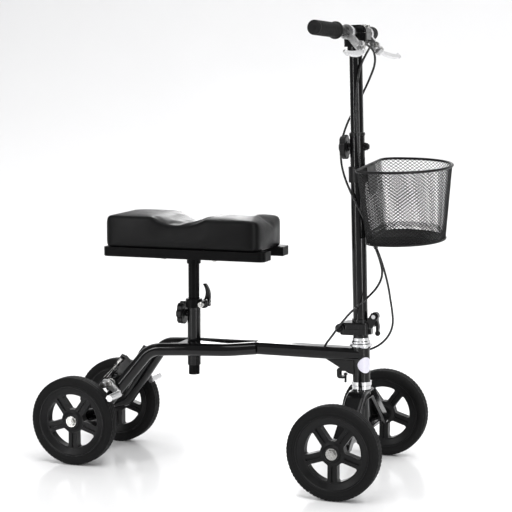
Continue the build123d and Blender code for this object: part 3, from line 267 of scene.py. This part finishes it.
ROUTE_STEPS = 8


def smooth_route(points):
    """Points along a curve that rounds every corner of a route, from the middle of one run to the next."""
    stops = [Vector(p) for p in points]
    route = [stops[0]]
    for before, at, after in zip(stops, stops[1:], stops[2:]):
        start = (before + at) / 2
        end = (at + after) / 2
        if before is stops[0]:
            route.append(start.copy())
        for i in range(1, ROUTE_STEPS + 1):
            t = i / ROUTE_STEPS
            route.append(start * (1 - t) ** 2 + at * 2 * t * (1 - t) + end * t**2)
    route.append(stops[-1])
    return route


def tube_mesh(routes, radius, sides=10, closed=False):
    """Points and faces of round tubes along routes: loops if closed, otherwise with capped ends."""
    points, faces = [], []
    for route in routes:
        route = [Vector(p) for p in route]
        count = len(route)
        base = len(points)
        previous = None
        for i, at in enumerate(route):
            if closed:
                along = route[(i + 1) % count] - route[i - 1]
            else:
                along = route[min(i + 1, count - 1)] - route[max(i - 1, 0)]
            along.normalize()
            if previous is None:
                spare = Vector((0, 0, 1)) if abs(along.z) < 0.9 else Vector((1, 0, 0))
                side = along.cross(spare).normalized()
            else:
                side = (previous - along * previous.dot(along)).normalized()
            previous = side
            other = along.cross(side)
            for k in range(sides):
                turn = 2 * pi * k / sides
                points.append(at + (side * cos(turn) + other * sin(turn)) * radius)
        rings = count if closed else count - 1
        for i in range(rings):
            a = base + i * sides
            b = base + ((i + 1) % count) * sides
            for k in range(sides):
                j = (k + 1) % sides
                faces.append((a + k, a + j, b + j, b + k))
        if not closed:
            faces.append(tuple(base + k for k in reversed(range(sides))))
            faces.append(tuple(base + (count - 1) * sides + k for k in range(sides)))
    return points, faces


def tubes(name, routes, radius, mat, sides=10, closed=False):
    """One object of round tubes."""
    points, faces = tube_mesh(routes, radius, sides, closed)
    return make_piece(name, points, faces, mat)


def lathe_mesh(profile, centre, axis, start, segments, notch=None):
    """Points and faces of a ring turned about an axis. profile is (along, radius) round a closed section.

    notch(segment, index of the profile point) gives what to take off the radius there.
    """
    axis = axis.normalized()
    start = (start - axis * start.dot(axis)).normalized()
    other = axis.cross(start)
    points, faces = [], []
    count = len(profile)
    for s in range(segments):
        turn = 2 * pi * s / segments
        out = start * cos(turn) + other * sin(turn)
        for i, (along, radius) in enumerate(profile):
            cut = notch(s, i) if notch else 0.0
            points.append(centre + axis * along + out * (radius - cut))
    for s in range(segments):
        a = s * count
        b = ((s + 1) % segments) * count
        for i in range(count):
            j = (i + 1) % count
            faces.append((a + i, a + j, b + j, b + i))
    return points, faces


# ================================================================ floor, lights, camera
def add_area(name, at, target, wide, tall, power):
    """A soft rectangular lamp facing a point."""
    lamp = bpy.data.lights.new(name, "AREA")
    lamp.energy = power
    lamp.shape = "RECTANGLE"
    lamp.size = wide
    lamp.size_y = tall
    holder = bpy.data.objects.new(name, lamp)
    holder.location = at
    holder.rotation_euler = (Vector(target) - Vector(at)).to_track_quat("-Z", "Y").to_euler()
    bpy.context.scene.collection.objects.link(holder)


def add_sun(name, towards, strength, wide):
    """A broad even light from one direction, wide in degrees."""
    lamp = bpy.data.lights.new(name, "SUN")
    lamp.energy = strength
    lamp.angle = radians(wide)
    holder = bpy.data.objects.new(name, lamp)
    holder.rotation_euler = Vector(towards).to_track_quat("Z", "Y").to_euler()
    bpy.context.scene.collection.objects.link(holder)


WORLD_LIGHT = 0.22
WORLD_SEEN = 1.0
FLOOR_NEAR = -8.0
FLOOR_FAR = 3.0
FLOOR_HALF = 11.0
SWEEP_R = 1.4
SWEEP_STEPS = 24
BACKDROP_TOP = 7.0


def make_stage():
    """A plain pale floor and backdrop in one piece, and a white surround."""
    floor_mat = surface(
        "studio_floor", ((0.90, 0.90, 0.905), (0.92, 0.92, 0.925)), (0.13, 0.18), scale=3, specular=0.3,
    )
    # flat under the object, then swept up behind it, so that the camera sees no horizon
    line = [(FLOOR_NEAR, 0.0)]
    for i in range(SWEEP_STEPS + 1):
        turn = pi / 2 * i / SWEEP_STEPS
        line.append((FLOOR_FAR + SWEEP_R * sin(turn), SWEEP_R - SWEEP_R * cos(turn)))
    line.append((FLOOR_FAR + SWEEP_R, BACKDROP_TOP))
    points = [(x, y, z) for y, z in line for x in (-FLOOR_HALF, FLOOR_HALF)]
    faces = [(2 * i, 2 * i + 1, 2 * i + 3, 2 * i + 2) for i in range(len(line) - 1)]
    floor = make_piece("studio_floor", points, faces, floor_mat)
    # a white surround, dimmer as a lamp than it looks, so that black paint stays black
    world = bpy.data.worlds.new("studio")
    bpy.context.scene.world = world
    world.use_nodes = True
    tree = world.node_tree
    sky = tree.nodes["Background"]
    seen = tree.nodes.new("ShaderNodeLightPath")
    level = tree.nodes.new("ShaderNodeMapRange")
    level.inputs["To Min"].default_value = WORLD_LIGHT
    level.inputs["To Max"].default_value = WORLD_SEEN
    tree.links.new(seen.outputs["Is Camera Ray"], level.inputs["Value"])
    tree.links.new(level.outputs["Result"], sky.inputs["Strength"])
    sky.inputs["Color"].default_value = (1.0, 1.0, 1.0, 1)
    bpy.context.scene.view_settings.view_transform = "Standard"


CAMERA_AT = Vector((1.1585, -3.1195, 0.8733))
CAMERA_AZIMUTH = radians(19.91)
CAMERA_PITCH = radians(6.72)
CAMERA_LENS = 104.67
CAMERA_SENSOR = 36.0
CAMERA_REACH = 60.0


def make_camera():
    """The camera at the height and angle that the object is seen from."""
    level = cos(CAMERA_PITCH)
    look = Vector((-sin(CAMERA_AZIMUTH) * level, cos(CAMERA_AZIMUTH) * level, -sin(CAMERA_PITCH)))
    right = Vector((cos(CAMERA_AZIMUTH), sin(CAMERA_AZIMUTH), 0))
    up = right.cross(look)
    lens = bpy.data.cameras.new("camera")
    lens.lens = CAMERA_LENS
    lens.sensor_width = CAMERA_SENSOR
    lens.clip_end = CAMERA_REACH
    camera = bpy.data.objects.new("camera", lens)
    camera.matrix_world = Matrix.Translation(CAMERA_AT) @ Matrix((right, up, -look)).transposed().to_4x4()
    bpy.context.scene.collection.objects.link(camera)
    bpy.context.scene.camera = camera


make_stage()
make_camera()
add_area("key_strip", (2.3, -1.5, 1.2), (0.1, 0, 0.5), wide=0.30, tall=2.4, power=30)
add_area("left_strip", (-1.6, -2.6, 1.2), (0, 0, 0.5), wide=0.18, tall=2.4, power=30)
add_area("back_strip", (-0.9, 2.4, 1.3), (0, 0, 0.5), wide=0.4, tall=1.8, power=14)
add_area("backdrop_wash", (0.0, 1.4, 4.6), (0.0, 4.4, 1.2), wide=7.0, tall=1.2, power=85)
add_sun("overhead", (0.25, -0.2, 1.0), strength=2.3, wide=55)


# ================================================================ tyres
# in millimetres
TREAD_HALF = 12.8
TREAD_SUNK = 0.25  # what the middle of the tread lies below the tyre's full radius
TREAD_CROWN = 0.0016  # how fast the tread falls away to its sides
GROOVES_AT = (-8.0, 0.0, 8.0)
GROOVE_HALF = 0.9
GROOVE_FLOOR_HALF = 0.6
GROOVE_DEEP = 1.2
# in metres
SHOULDER = (0.0125, 0.0168)
SHOULDER_DEEP = 0.005
NOTCH_DEEP = 0.0012
TREAD_BLOCKS = 72
SEGMENTS_PER_BLOCK = 4


def tyre_section():
    """The outline of a tyre's section: tread with three grooves, rounded shoulders, a stepped side wall."""
    top = TYRE_R / MM
    tread = [(-TREAD_HALF, 0.0)]
    for middle in GROOVES_AT:
        tread += [(middle - GROOVE_HALF, 0.0), (middle - GROOVE_FLOOR_HALF, GROOVE_DEEP)]
        tread += [(middle + GROOVE_FLOOR_HALF, GROOVE_DEEP), (middle + GROOVE_HALF, 0.0)]
    tread.append((TREAD_HALF, 0.0))
    tread = [(along, top - TREAD_SUNK - TREAD_CROWN * along**2 - cut) for along, cut in tread]
    # from the tread's edge down to the rim
    right = [(14.6, top - 1.4), (16.6, top - 3.4), (18.0, top - 6.2), (18.8, top - 9.5), (18.9, 89.0),
             (18.9, 87.4), (18.1, 86.6), (17.4, 85.2), (17.4, 81.1)]
    left = [(-a, r) for a, r in reversed(right)]
    return [(a * MM, r * MM) for a, r in left + tread + right]


def make_tyres():
    """Four tyres with a grooved tread, notched at both shoulders."""
    section = tyre_section()
    shoulders = [
        i for i, (along, radius) in enumerate(section)
        if SHOULDER[0] < abs(along) < SHOULDER[1] and radius > TYRE_R - SHOULDER_DEEP
    ]
    segments = TREAD_BLOCKS * SEGMENTS_PER_BLOCK

    def notch(segment, index):
        if index in shoulders and segment % SEGMENTS_PER_BLOCK == 0:
            return NOTCH_DEEP
        return 0.0

    for end in ("front", "rear"):
        for hand in ("left", "right"):
            node_name = f"{end}_{hand}_tyre"
            low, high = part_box(node_name)
            centre = Vector([(a + b) / 2 for a, b in zip(low, high)])
            points, faces = lathe_mesh(section, centre, LEFT, Vector((1, 0, 0)), segments, notch)
            tyre = make_piece(f"{end}_{hand}_tyre_tread", points, faces, tyre_rubber)
            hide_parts(node_name)
            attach(tyre, f"wheel_{end}_{hand}")


make_tyres()


# ================================================================ basket
BASKET_RIM = 0.693
BASKET_LOW = 0.533
BASKET_REAR = REAR_X + 0.658
BASKET_FRONT = REAR_X + 0.840
BASKET_HALF = 0.127
BASKET_TAPER = 0.84
BASKET_ROLL = radians(4.0)
BASKET_TURN_AT = Vector((0, 0, BASKET_RIM - 0.020))
BASKET_CORNER_R = 0.034
BASKET_SIDE_RUN = 0.052
CORNER_STEPS = 8
FRONT_STEPS = 30
MESH_COLUMNS = 66
MESH_ROWS = 44
MESH_INSET = 0.0012
WALL_STRAND = 0.0018
FOOT_ROWS = 7
FOOT_BAND = (0.012, 0.125)
FOOT_INSET = MESH_INSET + 0.0014
FOOT_STRAND = 0.0016
FLOOR_WIDE = 0.0060
FLOOR_LONG = 0.0042
FLOOR_COUNT = 64
FLOOR_LIFT = 0.0012
FLOOR_INSET = MESH_INSET + 0.0015
FLOOR_STRAND = 0.0013
FLOOR_OUTLINE = 90
RIM_COUNT = 144
RIM_LEVEL = 0.992
FOOT_LEVEL = 0.006
RIM_WIRE_R = 0.0029
FOOT_WIRE_R = 0.0017
PLATE_REACH = 7
PLATE_LEVELS = (0.62, 0.985)
PLATE_INSETS = (0.0035, 0.0035 + 0.0022)


def hang(point):
    """Turns a basket point about the line along X that the basket hangs askew on."""
    return Matrix.Rotation(BASKET_ROLL, 3, "X") @ (Vector(point) - BASKET_TURN_AT) + BASKET_TURN_AT


def basket_plan(scale, inset, count):
    """Evenly spaced points round the basket's plan at one scale, starting at the middle of the flat back."""
    half = BASKET_HALF * scale - inset
    deep = (BASKET_FRONT - BASKET_REAR) * scale - 2 * inset
    rear = (BASKET_FRONT + BASKET_REAR) / 2 - deep / 2
    corner = BASKET_CORNER_R
    side_end = rear + BASKET_SIDE_RUN
    # the front is the arc through both side ends and the foremost point
    reach = deep - BASKET_SIDE_RUN
    bend = (reach**2 + half**2) / (2 * reach)
    middle = rear + deep - bend
    swing = atan2(half, side_end - middle)
    quarter = [(rear, 0.0), (rear, half - corner)]
    for i in range(1, CORNER_STEPS + 1):
        turn = pi / 2 * i / CORNER_STEPS
        quarter.append((rear + corner - corner * cos(turn), half - corner + corner * sin(turn)))
    quarter.append((side_end, half))
    for i in range(1, FRONT_STEPS + 1):
        turn = swing * (1 - i / FRONT_STEPS)
        quarter.append((middle + bend * cos(turn), bend * sin(turn)))
    loop = quarter + [(x, -y) for x, y in reversed(quarter[1:-1])]
    lengths = [0.0]
    for a, b in zip(loop, loop[1:] + loop[:1]):
        lengths.append(lengths[-1] + hypot(b[0] - a[0], b[1] - a[1]))
    plan = []
    at = 0
    for i in range(count):
        want = lengths[-1] * i / count
        while lengths[at + 1] < want:
            at += 1
        share = (want - lengths[at]) / (lengths[at + 1] - lengths[at])
        a, b = loop[at], loop[(at + 1) % len(loop)]
        plan.append((a[0] + (b[0] - a[0]) * share, a[1] + (b[1] - a[1]) * share))
    return plan


def basket_wall(inset, count):
    """A function that gives the wall's point at a place round it and a height from 0 to 1."""
    low = basket_plan(BASKET_TAPER, inset, count)
    high = basket_plan(1.0, inset, count)

    def point(i, level):
        a, b = low[i % count], high[i % count]
        x = a[0] + (b[0] - a[0]) * level
        y = a[1] + (b[1] - a[1]) * level
        return hang((x, y, BASKET_LOW + (BASKET_RIM - BASKET_LOW) * level))

    return point


def wire_frame(name, points, faces, thick, mat):
    """A mesh whose every edge is a thin wire."""
    piece = make_piece(name, points, faces, mat, smooth=False)
    lattice = piece.modifiers.new("wires", "WIREFRAME")
    lattice.thickness = thick
    lattice.use_even_offset = False
    lattice.use_boundary = True
    lattice.use_replace = True
    return apply_modifiers(piece)


def diamond_wall(inset, low, high, rows, columns):
    """Diamonds between two heights of the basket wall, each 2 rows tall and 1 column wide."""
    point = basket_wall(inset, 2 * columns)
    points = []
    for row in range(rows + 1):
        level = low + (high - low) * row / rows
        points += [point(2 * column + row % 2, level) for column in range(columns)]
    faces = []
    for row in range(rows - 1):
        for column in range(columns):
            # the next row is shifted by half a column, so its points lie left and right of this one
            right = column if row % 2 == 0 else (column + 1) % columns
            left = (right - 1) % columns
            here = row * columns
            above = here + columns
            faces.append((here + column, above + right, above + columns + column, above + left))
    return points, faces


def diamond_floor(inset):
    """Diamonds across the basket's bottom."""
    plan = basket_plan(BASKET_TAPER, inset, FLOOR_OUTLINE)

    def inside(x, y):
        hit = False
        for (ax, ay), (bx, by) in zip(plan, plan[1:] + plan[:1]):
            if (ay > y) != (by > y) and x < ax + (bx - ax) * (y - ay) / (by - ay):
                hit = not hit
        return hit

    points, faces, seen = [], [], {}

    def place(i, j):
        return BASKET_REAR + i * FLOOR_WIDE / 2, j * FLOOR_LONG / 2

    def corner(i, j):
        if (i, j) not in seen:
            seen[(i, j)] = len(points)
            points.append(hang((*place(i, j), BASKET_LOW + FLOOR_LIFT)))
        return seen[(i, j)]

    for i in range(FLOOR_COUNT):
        for j in range(-FLOOR_COUNT, FLOOR_COUNT + 1):
            if (i + j) % 2 == 0:
                ring = [(i, j - 1), (i + 1, j), (i, j + 1), (i - 1, j)]
                if all(inside(*place(a, b)) for a, b in ring):
                    faces.append(tuple(corner(a, b) for a, b in ring))
    return points, faces


def back_plate():
    """Points and faces of the plate inside the basket's flat back."""
    points, faces = [], []
    for inset in PLATE_INSETS:
        inner = basket_wall(inset, RIM_COUNT)
        for level in PLATE_LEVELS:
            points += [inner(i, level) for i in range(-PLATE_REACH, PLATE_REACH + 1)]
    width = 2 * PLATE_REACH + 1
    outer_low, outer_high, inner_low, inner_high = 0, width, 2 * width, 3 * width
    for k in range(width - 1):
        faces.append((outer_low + k, outer_low + k + 1, outer_high + k + 1, outer_high + k))
        faces.append((inner_low + k + 1, inner_low + k, inner_high + k, inner_high + k + 1))
        faces.append((outer_low + k + 1, outer_low + k, inner_low + k, inner_low + k + 1))
        faces.append((outer_high + k, outer_high + k + 1, inner_high + k + 1, inner_high + k))
    last = width - 1
    faces.append((outer_low, outer_high, inner_high, inner_low))
    faces.append((outer_high + last, outer_low + last, inner_low + last, inner_high + last))
    return points, faces


def make_basket():
    """Expanded-metal basket: diamond wall, a second layer at its foot, floor, two wires and back plate."""
    wall = diamond_wall(MESH_INSET, 0.0, 1.0, MESH_ROWS, MESH_COLUMNS)
    band = diamond_wall(FOOT_INSET, *FOOT_BAND, FOOT_ROWS, MESH_COLUMNS)
    bottom = diamond_floor(FLOOR_INSET)
    pieces = [
        wire_frame("basket_mesh_wall", *wall, WALL_STRAND, wire_black),
        wire_frame("basket_mesh_foot", *band, FOOT_STRAND, wire_black),
        wire_frame("basket_mesh_floor", *bottom, FLOOR_STRAND, wire_black),
    ]
    rim_point = basket_wall(0.0, RIM_COUNT)
    rim = [rim_point(i, RIM_LEVEL) for i in range(RIM_COUNT)]
    foot = [rim_point(i, FOOT_LEVEL) for i in range(RIM_COUNT)]
    pieces.append(tubes("basket_rim_wire", [rim], RIM_WIRE_R, wire_black, sides=12, closed=True))
    pieces.append(tubes("basket_foot_wire", [foot], FOOT_WIRE_R, wire_black, sides=10, closed=True))
    pieces.append(make_piece("basket_back_plate", *back_plate(), knob_plastic, smooth=False))
    for piece in pieces:
        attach(piece, "basket")
    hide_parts("basket")


make_basket()


# ================================================================ brake cables
CABLE_R = 0.0025
RUN_PAST_CLIP = 0.026
RUN_PAST_FOLD = 0.024
CLIP_HALF_WIDE = 0.0068
CLIP_HALF_DEEP = 0.0036
CLIP_LEVELS = (-0.003, 0.0, 0.003)
CLIP_WIRE_R = 0.0012
CLIP_STEPS = 24


def cable_point(x, y, z):
    """A point of a cable's route, given in millimetres forward of the rear axle, left and up."""
    return Vector((REAR_X + x * MM, y * MM, z * MM))


def straight_on(route, distance):
    """The point that carries on in line from the end of a route."""
    return route[-1] + (route[-1] - route[-2]).normalized() * distance


def make_cables():
    """Both brake cable housings, each in three lengths laid along fixed routes from the handlebar down to the
    frame.
    """
    leave = on_tiller(0.030, 0, 0.951)
    left = [Vector((leave.x, 0.044, leave.z)), Vector((leave.x, 0.024, leave.z))] + [
        cable_point(*p) for p in (
            (652, 2, 936), (641, -18, 903), (635.5, -23, 858), (635.8, -23.6, 800), (639, -23.4, 742),
            (645, -23, 690), (651, -20, 640), (655, -9, 592), (660, 2, 548), (674, 3.4, 515),
        )
    ]
    right = [Vector((leave.x, -0.044, leave.z)), Vector((leave.x, -0.027, leave.z))] + [
        cable_point(*p) for p in (
            (668, -3, 939), (668, 12, 912), (654, 23, 882), (637, 28.5, 849), (620, 29, 818), (602, 30, 786),
            (589, 32, 752), (585, 31, 722), (589, 21, 693), (603, 1, 664), (622, -20.5, 636), (641, -24, 602),
            (655, -17, 572), (663, -6, 544), (675, -3.4, 513),
        )
    ]
    left_middle = [left[-1], straight_on(left, RUN_PAST_CLIP)] + [
        cable_point(*p) for p in ((696, 4.6, 456), (703, 8, 424), (707, 13, 392))
    ]
    right_middle = [right[-1], straight_on(right, RUN_PAST_CLIP)] + [
        cable_point(*p) for p in ((694, -5, 456), (686, -15, 429), (667, -27, 406), (643, -32, 384))
    ]
    left_lower = [left_middle[-1], straight_on(left_middle, RUN_PAST_FOLD)] + [
        cable_point(*p) for p in (
            (711, 21, 342), (702, 25, 317), (684, 28, 296), (661, 28, 282), (636, 25, 276), (618, 18, 275),
        )
    ]
    right_lower = [right_middle[-1], straight_on(right_middle, RUN_PAST_FOLD)] + [
        cable_point(*p) for p in ((602, -34, 338), (582, -24, 312), (568, -11, 297), (563, -10, 288))
    ]
    spans = (
        ("upper", (left, right), "handlebar", "tiller", 0.945, 0.530),
        ("middle", (left_middle, right_middle), "tiller", "steering", 0.505, 0.390),
        ("lower", (left_lower, right_lower), "steering", "frame", 0.372, 0.292),
    )
    for name, routes, above, below, top, foot in spans:
        start, end = on_tiller(0, 0, top), on_tiller(0, 0, foot)
        curves = [smooth_route(route) for route in routes]
        cable = tubes(f"brake_cable_housing_{name}", curves, CABLE_R, cable_black, sides=12)
        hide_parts(f"brake_cables_{name}")
        tuple(start)
        tuple(end)
        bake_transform(cable)
    # the clip that holds both housings where they run side by side
    clip_at = (left[-1] + right[-1]) / 2
    along = (left[-1] - left[-2]).normalized()
    out = along.cross(LEFT).normalized()
    ring = []
    for k in range(CLIP_STEPS):
        turn = 2 * pi * k / CLIP_STEPS
        ring.append(clip_at + LEFT * cos(turn) * CLIP_HALF_WIDE + out * sin(turn) * CLIP_HALF_DEEP)
    rings = [[point + along * level for point in ring] for level in CLIP_LEVELS]
    clip = tubes("brake_cable_clip", rings, CLIP_WIRE_R, knob_plastic, sides=8, closed=True)
    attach(clip, "tiller")


make_cables()


# ================================================================ knee rest
SWELL_ROOM = 0.0025  # how much smaller the pad starts, because it swells
SWELL_LIMIT = 0.006
PAD_VOXEL = 0.005
HELD_BAND = 0.006
BOARD_GAP = 0.0003
CLOTH_FRAMES = 20


def make_cushion():
    """The padded knee rest: a foam block under vinyl, puffed by a short cloth simulation."""
    source = nodes["seat_cushion"]
    low, high = (Vector(c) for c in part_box("seat_cushion"))
    mesh = source.data.copy()
    pad = bpy.data.objects.new("knee_pad", mesh)
    bpy.context.scene.collection.objects.link(pad)
    centre = (low + high) / 2
    for vertex in mesh.vertices:
        at = vertex.co
        for k, amount in ((0, SWELL_ROOM), (1, SWELL_ROOM), (2, SWELL_ROOM * 0.6)):
            share = (at[k] - centre[k]) / ((high[k] - low[k]) / 2)
            if k < 2 or share > 0:
                at[k] -= share * amount
    remesh = pad.modifiers.new("remesh", "REMESH")
    remesh.mode = "VOXEL"
    remesh.voxel_size = PAD_VOXEL
    remesh.use_smooth_shade = True
    pad = apply_modifiers(pad)
    start = [v.co.copy() for v in pad.data.vertices]
    held = pad.vertex_groups.new(name="held")
    for vertex in pad.data.vertices:
        if vertex.co.z < low.z + HELD_BAND:
            held.add([vertex.index], 1.0, "REPLACE")
    cloth = pad.modifiers.new("cloth", "CLOTH")
    settings = cloth.settings
    settings.quality = 6
    settings.mass = 0.3
    settings.tension_stiffness = 60
    settings.compression_stiffness = 60
    settings.shear_stiffness = 30
    settings.bending_stiffness = 6
    settings.use_pressure = True
    settings.uniform_pressure_force = 4
    settings.vertex_group_mass = "held"
    settings.effector_weights.gravity = 0
    cloth.point_cache.frame_start = 1
    cloth.point_cache.frame_end = CLOTH_FRAMES
    for step in range(1, CLOTH_FRAMES + 1):
        bpy.context.scene.frame_set(step)
    pad = apply_modifiers(pad)
    bpy.context.scene.frame_set(1)
    for vertex, before in zip(pad.data.vertices, start):
        moved = vertex.co - before
        if moved.length > SWELL_LIMIT:
            vertex.co = before + moved * (SWELL_LIMIT / moved.length)
    # nothing goes below the board's top
    floor = low.z + BOARD_GAP
    for vertex in pad.data.vertices:
        if vertex.co.z < floor:
            vertex.co.z = floor
    relax = pad.modifiers.new("relax", "SMOOTH")
    relax.factor = 0.5
    relax.iterations = 6
    finer = pad.modifiers.new("finer", "SUBSURF")
    finer.levels = 1
    finer.render_levels = 1
    pad = apply_modifiers(pad)
    pad.data.materials.clear()
    pad.data.materials.append(vinyl)
    for face in pad.data.polygons:
        face.use_smooth = True
    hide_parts("seat_cushion")
    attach(pad, "seat")


make_cushion()


# ================================================================ grips and springs
GRIP_LENGTH = 0.108
GRIP_PAST_TIP = 0.004
GRIP_BORE_R = 0.0111 + 0.0002
RIB_COUNT = 27
RIB_PITCH = 0.0034
RIB_FROM = 0.0075
GRIP_SEGMENTS = 48


def make_grips():
    """Two rubber grips: a flange at the inner end, ribs round the body and a domed end."""
    bend = on_tiller(-0.009, 0.108, 0.978)
    tip = on_tiller(-0.024, 0.216, 0.9815)
    along = (tip - bend).normalized()
    # (along the grip, radius) round the section: flange, ribs, domed end, bore
    profile = [(0.0, GRIP_BORE_R), (0.0, 0.0175), (0.0012, 0.0185), (0.0038, 0.0185), (0.005, 0.0172)]
    for i in range(RIB_COUNT):
        at = RIB_FROM + i * RIB_PITCH
        profile += [(at, 0.0149), (at + 0.0007, 0.0156), (at + 0.0020, 0.0156), (at + 0.0027, 0.0149)]
    profile += [(0.1015, 0.0149), (0.1020, 0.0155), (0.1050, 0.0153), (0.1070, 0.0140), (0.1080, 0.0110),
                (0.1080, 0.0006), (0.1042, 0.0006), (0.1042, GRIP_BORE_R)]
    points, faces = [], []
    for side in (1, -1):
        axis = Vector((along.x, along.y * side, along.z))
        start = Vector((tip.x, tip.y * side, tip.z)) - axis * (GRIP_LENGTH - GRIP_PAST_TIP)
        more_points, more_faces = lathe_mesh(profile, start, axis, Vector((0, 0, 1)), GRIP_SEGMENTS)
        base = len(points)
        points += more_points
        faces += [tuple(base + k for k in face) for face in more_faces]
    grips = make_piece("grips_ribbed", points, faces, grip_rubber)
    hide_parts("handlebar_grips")
    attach(grips, "handlebar")


SPRING_INNER_END = 0.0800
SPRING_R = 0.0100
SPRING_WIRE_R = 0.0008
SPRING_TURNS = 4
STEPS_PER_TURN = 20


def make_springs():
    """A coil spring round each rear brake pivot."""
    low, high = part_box("brake_return_springs")
    centre_x = (low[0] + high[0]) / 2
    centre_z = (low[2] + high[2]) / 2
    inner, outer = SPRING_INNER_END, high[1]
    steps = SPRING_TURNS * STEPS_PER_TURN
    routes = []
    for side in (1, -1):
        route = []
        for k in range(steps + 1):
            turn = 2 * pi * k / STEPS_PER_TURN
            y = inner + MM + (outer - inner - 2 * MM) * k / steps
            route.append((centre_x + SPRING_R * cos(turn), side * y, centre_z + SPRING_R * sin(turn)))
        routes.append(route)
    springs = tubes("brake_springs_coiled", routes, SPRING_WIRE_R, zinc, sides=8)
    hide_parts("brake_return_springs")
    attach(springs, "frame")


make_grips()
make_springs()
